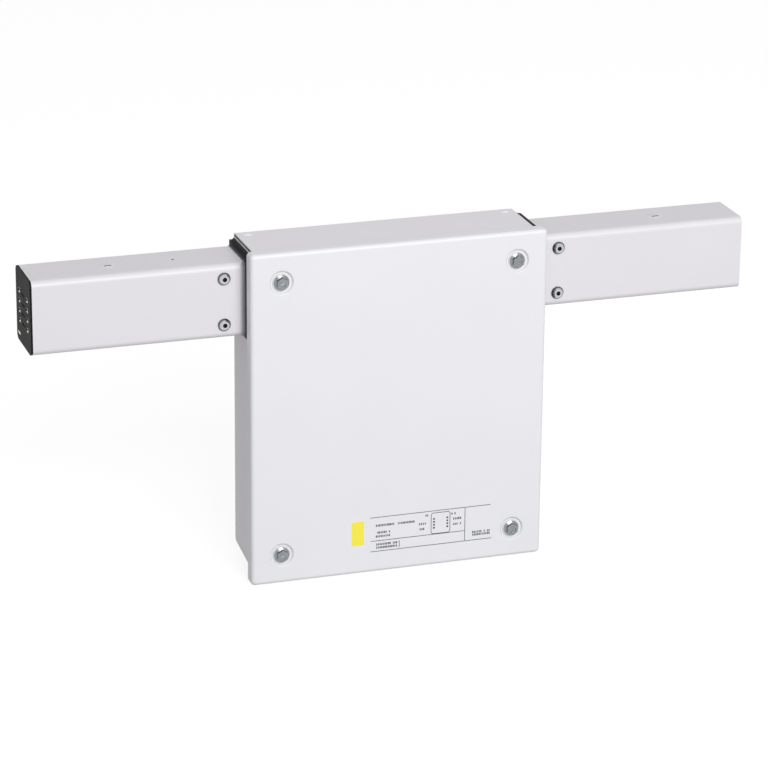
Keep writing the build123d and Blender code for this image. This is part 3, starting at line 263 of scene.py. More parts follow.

# %% [markdown]
# ## Threads, and painted shade on the socket screws
#
# The cover screws have a thread on their shanks. The button heads on the stubs get painted shade:
# dark in their hexagon sockets, where shade falls, and darker round their rims, where the edge of
# the head lies in shade. All of these are marks round an axis. They could be cut into the mesh,
# but the CAD parts keep theirs, so the material works out where each point lies from the axis of
# the nearest screw and draws them there. The bump is set deeper than the real thread, so that it
# shows from afar.

# %% Zinc that knows the screws' axes
SCREW_ZINC = (2.5, 0.2, 0.34, 0.4)
COVER_SCREW_ACROSS = (0.0905, 0.10625)
COVER_SCREW_MIDDLE = 0.02525
THREAD_PITCH = 0.0008
THREAD_SHANK = 0.00262
THREAD_BUMP = 0.0012
STUB_SCREW_ACROSS = (0.129, 0.0175)
STUB_SCREW_MIDDLE = 0.1155
SOCKET_RADIUS = 0.0017
RIM_RADIUS = 0.0039
# Painted shade: the dark of the socket and the darker zinc round the rim.
SOCKET_SHADE = "26272A"
RIM_SHADE = "63666B"


def from_screw_axis(tree, place, across, middle):
    """Where a point lies from the middle of four screws and from the axis of the nearest one.

    The screws point along Y. Two stand at each side of X = 0 and two at each side of Z = middle,
    so absolute values fold the four places into one. The last result is the radius.
    """
    centred = add(tree, "ShaderNodeVectorMath", {"operation": "SUBTRACT", 1: (0.0, 0.0, middle)},
                  {0: place}).outputs[0]
    folded = add(tree, "ShaderNodeVectorMath", {"operation": "ABSOLUTE"}, {0: centred}).outputs[0]
    offset = add(tree, "ShaderNodeVectorMath",
                 {"operation": "SUBTRACT", 1: (across[0], 0.0, across[1])}, {0: folded}).outputs[0]
    flat = add(tree, "ShaderNodeVectorMath", {"operation": "MULTIPLY", 1: (1.0, 0.0, 1.0)},
               {0: offset}).outputs[0]
    radius = add(tree, "ShaderNodeVectorMath", {"operation": "LENGTH"}, {0: flat}).outputs["Value"]
    return centred, flat, radius


def reopened(material):
    """The tree, the Principled shader and the Object coordinates of a material made above."""
    tree = material.node_tree
    place = next(node for node in tree.nodes if node.type == "TEX_COORD").outputs["Object"]
    return tree, tree.nodes["Principled BSDF"], place


def threaded(name, light, dark, across, middle, pitch, shank):
    """Zinc with a right-hand thread in the bump channel, on the shanks behind the heads."""
    material = plated_metal(name, light, dark, *SCREW_ZINC)
    tree, shader, place = reopened(material)
    centred, flat, radius = from_screw_axis(tree, place, across, middle)
    wide = add(tree, "ShaderNodeSeparateXYZ", links={"Vector": centred}).outputs
    near = add(tree, "ShaderNodeSeparateXYZ", links={"Vector": flat}).outputs
    quarter = add(tree, "ShaderNodeMath", {"operation": "MULTIPLY"}, {0: wide["X"], 1: wide["Z"]})
    mirror = add(tree, "ShaderNodeMath", {"operation": "SIGN"}, {0: quarter.outputs[0]})
    angle = add(tree, "ShaderNodeMath", {"operation": "ARCTAN2"}, {0: near["Z"], 1: near["X"]})
    turn = add(tree, "ShaderNodeMath", {"operation": "MULTIPLY"},
               {0: angle.outputs[0], 1: mirror.outputs[0]})
    part = add(tree, "ShaderNodeMath", {"operation": "DIVIDE", 1: math.tau}, {0: turn.outputs[0]})
    along = add(tree, "ShaderNodeMath", {"operation": "DIVIDE", 1: pitch}, {0: wide["Y"]})
    turns = add(tree, "ShaderNodeMath", {"operation": "ADD"},
                {0: along.outputs[0], 1: part.outputs[0]})
    ridge = add(tree, "ShaderNodeMath", {"operation": "PINGPONG", 1: 0.5}, {0: turns.outputs[0]})
    inside = add(tree, "ShaderNodeMath", {"operation": "LESS_THAN", 1: shank}, {0: radius})
    height = add(tree, "ShaderNodeMath", {"operation": "MULTIPLY"},
                 {0: ridge.outputs[0], 1: inside.outputs[0]})
    cut = add(tree, "ShaderNodeBump", {"Strength": 1.0, "Distance": THREAD_BUMP},
              {"Height": height.outputs[0],
               "Normal": shader.inputs["Normal"].links[0].from_socket})
    tree.links.new(cut.outputs["Normal"], shader.inputs["Normal"])
    return material


def shaded_socket(name, light, dark, across, middle, socket, rim):
    """Zinc with painted shade: dark in the hexagon socket and darker round the rim."""
    material = plated_metal(name, light, dark, *SCREW_ZINC)
    tree, shader, place = reopened(material)
    radius = from_screw_axis(tree, place, across, middle)[-1]
    plain = shader.inputs["Base Color"].links[0].from_socket
    inside = add(tree, "ShaderNodeMath", {"operation": "LESS_THAN", 1: socket}, {0: radius})
    socket_shaded = add(tree, "ShaderNodeMix", {"data_type": "RGBA", 7: linear(SOCKET_SHADE)},
               {0: inside.outputs[0], 6: plain})
    outside = add(tree, "ShaderNodeMath", {"operation": "GREATER_THAN", 1: rim}, {0: radius})
    rim_shaded = add(tree, "ShaderNodeMix", {"data_type": "RGBA", 7: linear(RIM_SHADE)},
               {0: outside.outputs[0], 6: socket_shaded.outputs[2]})
    tree.links.new(rim_shaded.outputs[2], shader.inputs["Base Color"])
    return material


zinc_plated_thread = threaded("zinc_plated_thread", "A0A4A8", "7E8286", COVER_SCREW_ACROSS,
                              COVER_SCREW_MIDDLE, THREAD_PITCH, THREAD_SHANK)
zinc_socket_screw = shaded_socket("zinc_socket_screw", "CFD2D6", "A9ACB1", STUB_SCREW_ACROSS,
                                STUB_SCREW_MIDDLE, SOCKET_RADIUS, RIM_RADIUS)
print("made", zinc_plated_thread.name, zinc_socket_screw.name)

# %% [markdown]
# ## Plastics and rubber
#
# The contact blocks are glass-filled nylon, moulded in a spark-eroded tool, so they are black,
# matt and finely pitted. The terminals and the washers are nylon with a smoother skin, and the
# leads have a soft PVC skin. The collars are rubber with a dusty bloom, and the gaskets are foam
# full of small cells. The pits are drawn coarser than the real ones, which are too fine to show.
# These finishes differ only in their numbers, so one function makes them all.

# %% Moulded plastics
MOULD_PATCH = 12
GLOSS_SPREAD = 0.06
PIT_HEIGHT = 0.00004


def moulded(name, light, dark, rough, pit, relief, sheen=0.5):
    """A moulded skin: pits of that many millimetres and a slow change of tone."""
    material, tree, shader, place = new_material(name)
    shader.inputs["IOR"].default_value = 1.52
    shader.inputs["Specular IOR Level"].default_value = sheen
    tone = patchy_colour(tree, shader, place, MOULD_PATCH, 5.0, dark, light)
    varied_gloss(tree, shader, tone, rough - GLOSS_SPREAD, rough + GLOSS_SPREAD)
    fine_bumps(tree, shader, place, pit, 2.0, relief, PIT_HEIGHT)
    return material


black_nylon = moulded("black_glass_filled_nylon", "1B1A1C", "100F11", 0.6, 0.5, 0.6, sheen=0.1)
natural_nylon = moulded("natural_nylon", "DDDDDA", "D4D4D0", 0.4, 1.2, 0.2)
grey_nylon = moulded("grey_nylon", "8F9397", "7F8387", 0.42, 0.8, 0.4)
black_rubber = moulded("black_epdm_rubber", "1E1E1F", "111112", 0.66, 0.7, 0.8, sheen=0.15)
# This grey is painted shade, for the strip in the left top joint below.
shade_strip_grey = moulded("grey_painted_shade_strip", "5A5A5E", "4C4C50", 0.7, 0.7, 0.6, sheen=0.2)
black_foam = moulded("black_neoprene_foam", "2E2E30", "121213", 0.85, 1.0, 1.0)
brown_pvc = moulded("brown_pvc", "6A4026", "5C3620", 0.4, 1.5, 0.2)
black_pvc = moulded("black_pvc", "262627", "1B1B1C", 0.4, 1.5, 0.2)
print("made", black_nylon.name, natural_nylon.name, grey_nylon.name, black_rubber.name)

# %% [markdown]
# ## Green and yellow
#
# Protective earth is green and yellow wherever it goes. On the terminal and the lead two colours
# lie side by side, so a hard step, driven by one coordinate, splits each of them. Two materials
# on one part would do it too, but then the mesh would have to be cut along the stripes.

# %% Green and yellow
EARTH_GREEN = "2F8A3C"
EARTH_YELLOW = "E3CF2E"


def earth_stripes(name, width):
    """Green and yellow bands, one pair in that many millimetres along X."""
    material, tree, shader, place = new_material(name)
    shader.inputs["Roughness"].default_value = 0.4
    shader.inputs["IOR"].default_value = 1.52
    axis = add(tree, "ShaderNodeSeparateXYZ", links={"Vector": place})
    turns = add(tree, "ShaderNodeMath", {"operation": "MULTIPLY", 1: per_mm(width)},
                {0: axis.outputs["X"]})
    part = add(tree, "ShaderNodeMath", {"operation": "FRACT"}, {0: turns.outputs[0]})
    step = add(tree, "ShaderNodeMath", {"operation": "GREATER_THAN", 1: 0.5}, {0: part.outputs[0]})
    two_tones(tree, shader, step.outputs[0], EARTH_GREEN, EARTH_YELLOW)
    return material


earth_nylon = earth_stripes("green_yellow_nylon", 10.0)
earth_pvc = earth_stripes("green_yellow_pvc", 3.0)
print("made", earth_nylon.name, earth_pvc.name)

# %% [markdown]
# ## Give every CAD part its finish
#
# Each part of the real unit has one finish, so each mesh needs one material. A CAD part keeps its
# mesh, and only its material slot changes. A list of parts under each finish shows at a glance
# what is made of what, and the last line prints any part that was left out.

# %% Finishes by part
FINISHES = {
    cover_coat: ["front_cover"],
    housing_coat: ["housing_body", "left_side_panel", "right_side_panel"],
    rivet_highlight_coat: ["housing_rivets"],
    trunking_coat: ["left_stub_casing", "right_stub_casing"],
    zinc_plated_steel: ["cover_press_nuts", "channel_nuts", "channel_studs", "rail_screws",
                        "gland_screws", "earth_nuts", "earth_stud", "terminal_screws"],
    zinc_socket_screw: ["left_stub_screws", "right_stub_screws"],
    zinc_plated_thread: ["cover_screw_%d" % i for i in (1, 2, 3, 4)],
    galvanised_steel: ["conductor_channel", "terminal_rail", "gland_plate"],
    tinned_copper: ["circuit_1_bars", "circuit_2_bars", "earth_bar", "earth_lug", "left_contacts"],
    nickel_plated_brass: ["circuit_1_tap_clamps", "circuit_2_tap_clamps"],
    natural_nylon: ["cover_washer_%d" % i for i in (1, 2, 3, 4)],
    black_nylon: ["left_socket_block", "right_pin_block", "bar_carriers", "blanking_plugs"],
    grey_nylon: ["circuit_1_terminals", "circuit_2_terminals", "terminal_end_stops"],
    black_rubber: ["left_entry_collar", "right_entry_collar"],
    black_foam: ["cover_gasket", "gland_seal"],
    earth_nylon: ["earth_terminal"],
    earth_pvc: ["earth_leads"],
    brown_pvc: ["circuit_1_leads"],
    black_pvc: ["circuit_2_leads"],
}

for finish, names in FINISHES.items():
    for name in names:
        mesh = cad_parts[name].data
        mesh.materials.clear()
        mesh.materials.append(finish)
dressed = {name for names in FINISHES.values() for name in names}
print("dressed:", len(dressed), "left plain:", sorted(set(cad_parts) - dressed))

# %% [markdown]
# ## Print and sticker on the cover
#
# Low on the cover are a few thin printed lines, a small drawing of the bar layout, some rows of
# small print and a yellow sticker. The sticker is left blank and the rows are plain marks that
# spell nothing. Ink and vinyl are films, so each of them is a very thin closed slab that lies on
# the paint. An image could carry the print, but slabs need no picture file and stay sharp at any
# size. One function turns flat outlines, given in millimetres along X and Z, into such slabs.
# Every piece says which body it rides on, so it travels with the cover.

# %% Inks and films
FILM_GRAIN = 3
FILM_SPREAD = 0.05


def coloured(name, hex_colour, rough):
    """A plain coloured film, such as printing ink or vinyl, with a slightly uneven gloss."""
    material, tree, shader, place = new_material(name)
    shader.inputs["Base Color"].default_value = linear(hex_colour)
    gloss = add(tree, "ShaderNodeTexNoise", {"Scale": per_mm(FILM_GRAIN), "Detail": 2.0},
                {"Vector": place})
    varied_gloss(tree, shader, gloss.outputs["Fac"], rough - FILM_SPREAD, rough + FILM_SPREAD)
    return material


def add_piece(name, mesh, body):
    """Put a mesh in the scene as a piece that rides on that body."""
    piece = bpy.data.objects.new(name, mesh)
    bpy.context.scene.collection.objects.link(piece)
    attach(piece, body)


def film(name, outlines, thick, material, body, back):
    """A thin closed slab for each flat outline of (x, z) points, with its back at that Y."""
    made = bmesh.new()
    for outline in outlines:
        made.faces.new([made.verts.new((x / 1000, back, z / 1000)) for x, z in outline])
    bmesh.ops.remove_doubles(made, verts=made.verts, dist=1e-7)
    extruded = bmesh.ops.extrude_face_region(made, geom=made.faces[:])["geom"]
    moved = [item for item in extruded if isinstance(item, bmesh.types.BMVert)]
    bmesh.ops.translate(made, verts=moved, vec=(0, -thick, 0))
    bmesh.ops.recalc_face_normals(made, faces=made.faces)
    open_edges = sum(not edge.is_manifold for edge in made.edges)
    mesh = bpy.data.meshes.new(name)
    made.to_mesh(mesh)
    made.free()
    mesh.materials.append(material)
    add_piece(name, mesh, body)
    print(name, "faces:", len(mesh.polygons), "open edges:", open_edges)


grey_ink = coloured("grey_screen_ink", "45454B", 0.45)
yellow_vinyl = coloured("yellow_vinyl", "F7EB48", 0.4)
print("made", grey_ink.name, yellow_vinyl.name)

# %% Flat outlines
ARC_STEPS = 6
DISC_FLAT = 0.01
LINE_WIDTH = 0.5


def rounded(x0, x1, z0, z1, radius):
    """The corner points of a rectangle with rounded corners, anticlockwise."""
    points = []
    for x, z, start in ((x1 - radius, z1 - radius, 0), (x0 + radius, z1 - radius, 90),
                        (x0 + radius, z0 + radius, 180), (x1 - radius, z0 + radius, 270)):
        for step in range(ARC_STEPS + 1):
            angle = math.radians(start + 90 * step / ARC_STEPS)
            points.append((x + radius * math.cos(angle), z + radius * math.sin(angle)))
    return points


def disc(x, z, radius):
    """A circle, with straight bits too short to see, so that no two of its points coincide."""
    return rounded(x - radius, x + radius, z - radius, z + radius, radius - DISC_FLAT)


def band(outer, inner):
    """The quads between two closed outlines that have the same number of points."""
    count = len(outer)
    return [[outer[i], outer[(i + 1) % count], inner[(i + 1) % count], inner[i]]
            for i in range(count)]


def level_line(x0, x1, z):
    """A printed line along X, as a flat strip."""
    half = LINE_WIDTH / 2
    return [(x0, z - half), (x1, z - half), (x1, z + half), (x0, z + half)]


def upright_line(x, z0, z1):
    """A printed line along Z, as a flat strip."""
    half = LINE_WIDTH / 2
    return [(x - half, z0), (x + half, z0), (x + half, z1), (x - half, z1)]


print("points in a rounded outline:", len(rounded(0, 10, 0, 10, 2)))

# %% Lines, drawing and sticker
FILM_GAP = 0.00001
INK = 0.00003
VINYL = 0.0001
FRAME_BOX = (25.9, 41.3, -78.2, -61.0)
FRAME_CORNER = 2.0
DOT_RADIUS = 0.8
DOT_COLUMNS = (28.4, 39.0)
DOT_ROWS = (-66.0, -68.4, -70.8, -73.2)
STICKER_BOX = (-36.45, -26.84, -80.5, -61.5)
STICKER_CORNER = 0.6

cover_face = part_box("front_cover")[0].y
on_cover = cover_face - FILM_GAP
lines = [level_line(-21.9, 73.4, -59.5), level_line(-21.5, 52.6, -78.4),
         level_line(-21.5, 74.5, -86.8), upright_line(53.0, -86.4, -59.9),
         upright_line(1.0, -85.6, -80.0)]
film("cover_printed_lines", lines, INK, grey_ink, "cover", on_cover)

left, right, low, high = FRAME_BOX
drawing = band(rounded(left, right, low, high, FRAME_CORNER),
               rounded(left + LINE_WIDTH, right - LINE_WIDTH, low + LINE_WIDTH, high - LINE_WIDTH,
                       FRAME_CORNER - LINE_WIDTH))
drawing += [disc(x, z, DOT_RADIUS) for x in DOT_COLUMNS for z in DOT_ROWS]
film("cover_bar_drawing", drawing, INK, grey_ink, "cover", on_cover)
film("cover_yellow_sticker", [rounded(*STICKER_BOX, STICKER_CORNER)], VINYL, yellow_vinyl,
     "cover", on_cover)
print("cover face at", round(cover_face, 5))

# %% [markdown]
# ## Rows of small print
#
# The rows of small print are many marks that differ only in width, so Geometry Nodes make them
# along a few straight edges. The tree is built here. Its named inputs take the real sizes, and a
# fixed seed gives the same marks each time. Some places stay empty, as the gaps between words do.

# %% A node group for small print
NARROWEST_SHARE = 0.6
GAP_SEED_STEP = 7.0


def open_group(name, inputs):
    """A node group with geometry in and out and those named inputs, and the inputs' sockets."""
    tree = bpy.data.node_groups.new(name, "GeometryNodeTree")
    tree.is_modifier = True
    sockets = tree.interface
    sockets.new_socket("Geometry", in_out="INPUT", socket_type="NodeSocketGeometry")
    for label, kind in inputs:
        sockets.new_socket(label, in_out="INPUT", socket_type="NodeSocket" + kind)
    sockets.new_socket("Geometry", in_out="OUTPUT", socket_type="NodeSocketGeometry")
    return tree, add(tree, "NodeGroupInput").outputs


def close_group(tree, instances, material):
    """End a node group: make the instances real and give them their material."""
    real = add(tree, "GeometryNodeRealizeInstances", links={0: instances})
    done = add(tree, "GeometryNodeSetMaterial",
               links={"Geometry": real.outputs[0], "Material": material})
    add(tree, "NodeGroupOutput", links={"Geometry": done.outputs[0]})


def small_print_group():
    """Edges in, flat marks out: one mark a pitch, uneven in width, with gaps."""
    tree, given = open_group("small_print", (
        ("Pitch", "Float"), ("Mark Width", "Float"), ("Mark Height", "Float"), ("Film", "Float"),
        ("Gap Share", "Float"), ("Seed", "Int"), ("Ink", "Material")))
    rows = add(tree, "GeometryNodeMeshToCurve", links={"Mesh": given["Geometry"]})
    places = add(tree, "GeometryNodeCurveToPoints", {"mode": "LENGTH"},
                 {"Curve": rows.outputs["Curve"], "Length": given["Pitch"]})
    narrow = add(tree, "ShaderNodeMath", {"operation": "MULTIPLY", 1: NARROWEST_SHARE},
                 {0: given["Mark Width"]})
    width = add(tree, "FunctionNodeRandomValue", {"data_type": "FLOAT"},
                {2: narrow.outputs[0], 3: given["Mark Width"], "Seed": given["Seed"]})
    filled = add(tree, "ShaderNodeMath", {"operation": "SUBTRACT", 0: 1.0},
                 {1: given["Gap Share"]})
    other = add(tree, "ShaderNodeMath", {"operation": "ADD", 1: GAP_SEED_STEP}, {0: given["Seed"]})
    kept = add(tree, "FunctionNodeRandomValue", {"data_type": "BOOLEAN"},
               {"Probability": filled.outputs[0], "Seed": other.outputs[0]})
    size = add(tree, "ShaderNodeCombineXYZ",
               links={"X": width.outputs[1], "Y": given["Film"], "Z": given["Mark Height"]})
    mark = add(tree, "GeometryNodeMeshCube", {"Size": (1.0, 1.0, 1.0)})
    marks = add(tree, "GeometryNodeInstanceOnPoints", links={
        "Points": places.outputs["Points"], "Selection": kept.outputs[3],
        "Instance": mark.outputs["Mesh"], "Scale": size.outputs[0]})
    close_group(tree, marks.outputs[0], given["Ink"])
    return tree


small_print = small_print_group()
print("nodes in the tree for small print:", len(small_print.nodes))

# %% Rows of small print
ROWS = [(-17.0, 12.5, -66.2), (-17.0, -5.5, -71.9), (-17.0, -5.5, -74.9), (-16.6, -1.0, -81.4),
        (-16.6, -1.0, -84.0), (59.5, 72.5, -80.4), (59.5, 72.5, -82.6), (22.0, 24.6, -62.6),
        (17.0, 21.5, -69.0), (17.5, 21.5, -73.2), (42.6, 45.0, -63.4), (44.0, 49.5, -67.6),
        (44.0, 49.5, -72.0)]


def grown(name, group, edges, settings, body):
    """Run a node group on straight edges, in millimetres, and keep the result as a plain mesh."""
    base = bpy.data.meshes.new(name + "_base")
    points = [tuple(c / 1000 for c in point) for edge in edges for point in edge]
    base.from_pydata(points, [(2 * i, 2 * i + 1) for i in range(len(edges))], [])
    start = bpy.data.objects.new(name + "_base", base)
    bpy.context.scene.collection.objects.link(start)
    modifier = start.modifiers.new("grow", "NODES")
    modifier.node_group = group
    sockets = {item.name: item.identifier for item in group.interface.items_tree
               if item.in_out == "INPUT"}
    for label, value in settings.items():
        modifier[sockets[label]] = value
    ready = start.evaluated_get(bpy.context.evaluated_depsgraph_get())
    mesh = bpy.data.meshes.new_from_object(ready)
    mesh.name = name
    bpy.data.objects.remove(start)
    add_piece(name, mesh, body)
    print(name, "faces:", len(mesh.polygons))


row_y = (cover_face - FILM_GAP - INK / 2) * 1000
row_edges = [((x0, row_y, z), (x1, row_y, z)) for x0, x1, z in ROWS]
grown("cover_small_print", small_print, row_edges,
      {"Pitch": 0.00122, "Mark Width": 0.00105, "Mark Height": 0.0017, "Film": INK,
       "Gap Share": 0.14, "Seed": 4, "Ink": grey_ink}, "cover")

# %% [markdown]
# ## Dark strips in the top joints, painted shade
#
# A dark strip lies in the joint between the folded top and each side panel. It is painted shade:
# a grey or black piece put where the gap under the edge of the top lies in shadow. It shows as a
# dark line under the edge of the top, and bulges over the middle of the right joint. A profile
# could be swept along a curve, but this section changes on its way, so a function joins rings of
# corner points instead. The lips, beads and slot plugs below are made with it too.

# %% A closed mesh out of rings of points
SIDES = ((-1, "left"), (1, "right"))


def shell(name, rings, closed_on_itself, material, body):
    """Join rings of points, in metres, into a closed surface that rides on a body."""
    count = len(rings[0])
    points = [point for ring in rings for point in ring]
    faces = []
    spans = len(rings) if closed_on_itself else len(rings) - 1
    for i in range(spans):
        a, b = i * count, ((i + 1) % len(rings)) * count
        faces += [(a + j, a + (j + 1) % count, b + (j + 1) % count, b + j) for j in range(count)]
    if not closed_on_itself:
        faces += [tuple(range(count)), tuple(range(len(points) - count, len(points)))]
    mesh = bpy.data.meshes.new(name)
    mesh.from_pydata(points, [], faces)
    made = bmesh.new()
    made.from_mesh(mesh)
    bmesh.ops.recalc_face_normals(made, faces=made.faces)
    open_edges = sum(not edge.is_manifold for edge in made.edges)
    made.to_mesh(mesh)
    made.free()
    mesh.materials.append(material)
    add_piece(name, mesh, body)
    print(name, "points:", len(points), "open edges:", open_edges)


top_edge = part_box("housing_body")[1]
print("top of the box at", round(top_edge.z, 5), "its side edge at", round(top_edge.x, 5))

# %% Dark strips of painted shade in the top joints
STRIP_ROOT = 0.06
STRIP_HEIGHTS = {"left": ((-0.9, -1.75), (-1.95, -1.05)), "right": ((-0.8, -2.15), (-3.0, -1.0))}
STRIP_BULGES = {
    "left": ((-57.5, 0.5), (-3.5, 0.5)),
    "right": ((-57.5, 0.7), (-53.0, 0.9), (-50.0, 3.8), (-13.0, 3.8), (-10.0, 0.9), (-3.5, 0.7)),
}
STRIP_SHADE_FINISH = {"left": shade_strip_grey, "right": black_rubber}

# Each strip is painted shade: a dark piece where the joint under the top's edge lies in shadow.
for side, label in SIDES:
    root, nose = STRIP_HEIGHTS[label]
    rings = []
    for y, bulge in STRIP_BULGES[label]:
        section = [(STRIP_ROOT, up) for up in root] + [(bulge, up) for up in nose]
        rings.append([(side * (top_edge.x + out / 1000), y / 1000, top_edge.z + up / 1000)
                      for out, up in section])
    shell(label + "_top_shade_strip", rings, False, STRIP_SHADE_FINISH[label], "box")

# %% [markdown]
# ## Lips on the rubber collars, coloured with painted shadow
#
# Round each stub a soft lip grows out of the rubber collar. It is long in front and short
# elsewhere, and it thins towards its end. Lip and colour are painted shadow: the dark piece and a
# ramp of colours along X, from near black at the collar to the white of the trunking, stand in for
# the soft shadow that falls on each stub next to the box. The ramp keeps the band the same from
# every side. The rings of the lip follow the rounded outline of the trunking.

# %% Lips on the rubber collars, with painted shadow
LIP_FRONT = 5.4
LIP_TOP = 1.9
LIP_STEPS = ((0.004, 1.5), (0.12, 1.3), (0.92, 0.5), (1.0, 0.25))
LIP_HOLE = 0.12
TRUNK_ROUND = 4.5
TRUNK_LOW = (-48.0, 87.5)
TRUNK_HIGH = (-2.0, 143.5)
# Painted shadow: the stops of the ramp, from the collar outwards.
SHADOW_FADE = ((0.0, "202022"), (0.14, "3C3C40"), (0.3, "5E5E62"), (0.36, "8A8A8E"), (0.62, "9A9A9E"),
        (0.8, "BDBCC0"), (1.0, "E0DEE3"))


def shadow_ramp_rubber(name, face):
    """Soft rubber coloured with painted shadow: dark at that X, paling outwards to white."""
    material, tree, shader, place = new_material(name)
    shader.inputs["Roughness"].default_value = 0.7
    shader.inputs["Specular IOR Level"].default_value = 0.2
    axis = add(tree, "ShaderNodeSeparateXYZ", links={"Vector": place})
    away = add(tree, "ShaderNodeMath", {"operation": "ABSOLUTE"}, {0: axis.outputs["X"]})
    share = add(tree, "ShaderNodeMapRange", {1: face, 2: face + LIP_FRONT / 1000},
                {0: away.outputs[0]})
    ramp = add(tree, "ShaderNodeValToRGB", links={"Fac": share.outputs[0]})
    stops = ramp.color_ramp.elements
    stops[0].color, stops[1].color = linear(SHADOW_FADE[0][1]), linear(SHADOW_FADE[-1][1])
    for position, shade in SHADOW_FADE[1:-1]:
        stops.new(position).color = linear(shade)
    tree.links.new(ramp.outputs["Color"], shader.inputs["Base Color"])
    return material


def lip_ring(root_x, side, out, stand):
    """The outline of the trunking, that far outside it, and moved along X by a share of the lip."""
    section = rounded(TRUNK_LOW[0] - stand, TRUNK_HIGH[0] + stand, TRUNK_LOW[1] - stand,
                      TRUNK_HIGH[1] + stand, TRUNK_ROUND + stand)
    ring = []
    for y, z in section:
        back = min(max((y - TRUNK_LOW[0]) / TRUNK_ROUND, 0.0), 1.0)
        reach = LIP_FRONT + (LIP_TOP - LIP_FRONT) * back
        ring.append((root_x + side * out * reach / 1000, y / 1000, z / 1000))
    return ring


# The lips carry the painted shadow next to the box on each stub.
shadow_lip_finish = shadow_ramp_rubber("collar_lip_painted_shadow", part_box("right_entry_collar")[1].x)

for side, label in SIDES:
    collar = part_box(label + "_entry_collar")
    root_x = collar[0].x if side < 0 else collar[1].x
    steps = LIP_STEPS + tuple((out, LIP_HOLE) for out, _ in reversed(LIP_STEPS))
    rings = [lip_ring(root_x, side, out, stand) for out, stand in steps]
    shell(label + "_shadow_lip", rings, True, shadow_lip_finish, "box")

# %% [markdown]
# ## Beads on the collars
#
# A bead of black rubber seals the top of each collar against the side panel. Its section is the
# same all along, so two rings of corner points are enough.

# %% Beads on the collars
BEAD_SECTION = ((0.02, 0.02), (1.5, 0.02), (1.2, 1.5), (0.02, 2.4))
BEAD_ENDS = (-50.0, -4.0)

panel_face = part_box("right_side_panel")[1].x
for side, label in SIDES:
    collar_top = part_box(label + "_entry_collar")[1].z
    rings = [[(side * (panel_face + out / 1000), y / 1000, collar_top + up / 1000)
              for out, up in BEAD_SECTION] for y in BEAD_ENDS]
    shell(label + "_collar_bead", rings, False, black_rubber, "box")

# %% [markdown]
# ## Painted shade in the slots of the trunking
#
# Each stub has a slot on top, and the left one a small hole too, and their insides lie in shade
# and look black. A plug of black foam fills each as painted shade. A plug that ends deeper leaves
# too much of the bright edge in sight, so each one reaches to just under the surface. It is one
# flat outline between two heights.

# %% Black plugs of painted shade in the slots of the trunking
SLOT_HALF = (2.6, 0.66)
SLOT_CORNER = 0.1
SLOT_TOP = 144.25
HOLE_RADIUS = 1.02
HOLE_TOP = 143.45
SHADE_PLUG_FOOT = 142.2


def slot(x, y):
    """The outline of a slot with its middle there."""
    return rounded(x - SLOT_HALF[0], x + SLOT_HALF[0], y - SLOT_HALF[1], y + SLOT_HALF[1],
                   SLOT_CORNER)


# Painted shade: each plug stands in for the shade inside its slot or hole.
for name, outline, top in (("left_slot_shade", slot(-210.0, -27.8), SLOT_TOP),
                           ("right_slot_shade", slot(214.5, -27.8), SLOT_TOP),
                           ("left_hole_shade", disc(-161.0, -25.0, HOLE_RADIUS), HOLE_TOP)):
    rings = [[(x / 1000, y / 1000, level / 1000) for x, y in outline]
             for level in (SHADE_PLUG_FOOT, top)]
    shell(name, rings, False, black_foam, "box")

# %% [markdown]
# ## Contacts in the left end
#
# In the left end, two flared leaves of tinned copper guide each pin into its socket, and the end
# of the earth bar has a tinned tip. They catch the light in the dark face. Bent sheet could be
# made with Solidify, but these sections are flat outlines that are pulled along Y, so the
# function for films makes them.

# %% Contact leaves in the left end
LEAF = ((0.08, 1.52), (0.74, 0.75), (0.74, 0.4), (0.08, 1.2))
LEAF_LENGTH = 0.0048
EDGE_GAP = 0.0001
TIP_START = 0.1
TIP_END = 0.78
FACE_OUT = 0.8
LEAF_ROWS = 4
ROW_PITCH = 7.5

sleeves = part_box("left_contacts")
end_x = sleeves[0].x * 1000 - FACE_OUT
middle_z = (sleeves[0].z + sleeves[1].z) / 2 * 1000
leaves = [[(end_x + out, middle_z + (row - (LEAF_ROWS - 1) / 2) * ROW_PITCH + half * up)
           for out, up in LEAF] for row in range(LEAF_ROWS) for half in (-1, 1)]
for label, rear in (("front", sleeves[0].y + LEAF_LENGTH + EDGE_GAP),
                    ("rear", sleeves[1].y - EDGE_GAP)):
    film("left_contact_leaves_" + label, leaves, LEAF_LENGTH, tinned_copper, "box", rear)

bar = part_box("earth_bar")
tip_low = (bar[0].z + EDGE_GAP) * 1000
tip_high = (bar[1].z - EDGE_GAP) * 1000
tip = [(end_x + TIP_START, tip_low), (end_x + TIP_END, tip_low), (end_x + TIP_END, tip_high),
       (end_x + TIP_START, tip_high)]
film("earth_bar_tip", [tip], bar[1].y - bar[0].y - 2 * EDGE_GAP, tinned_copper, "box",
     bar[1].y - EDGE_GAP)

# %% [markdown]
# ## Small parts inside
#
# With the cover off, each lead ends in a plastic ferrule collar at its terminal and each terminal
# carries a blank marker tag. They are nine equal pieces in a row, so two more node groups make
# them: one sweeps a rounded section round a circle, the other pulls a rounded tag along a line.

# %% Node groups for a row of rings and a row of tags
RING_SIDES = 24


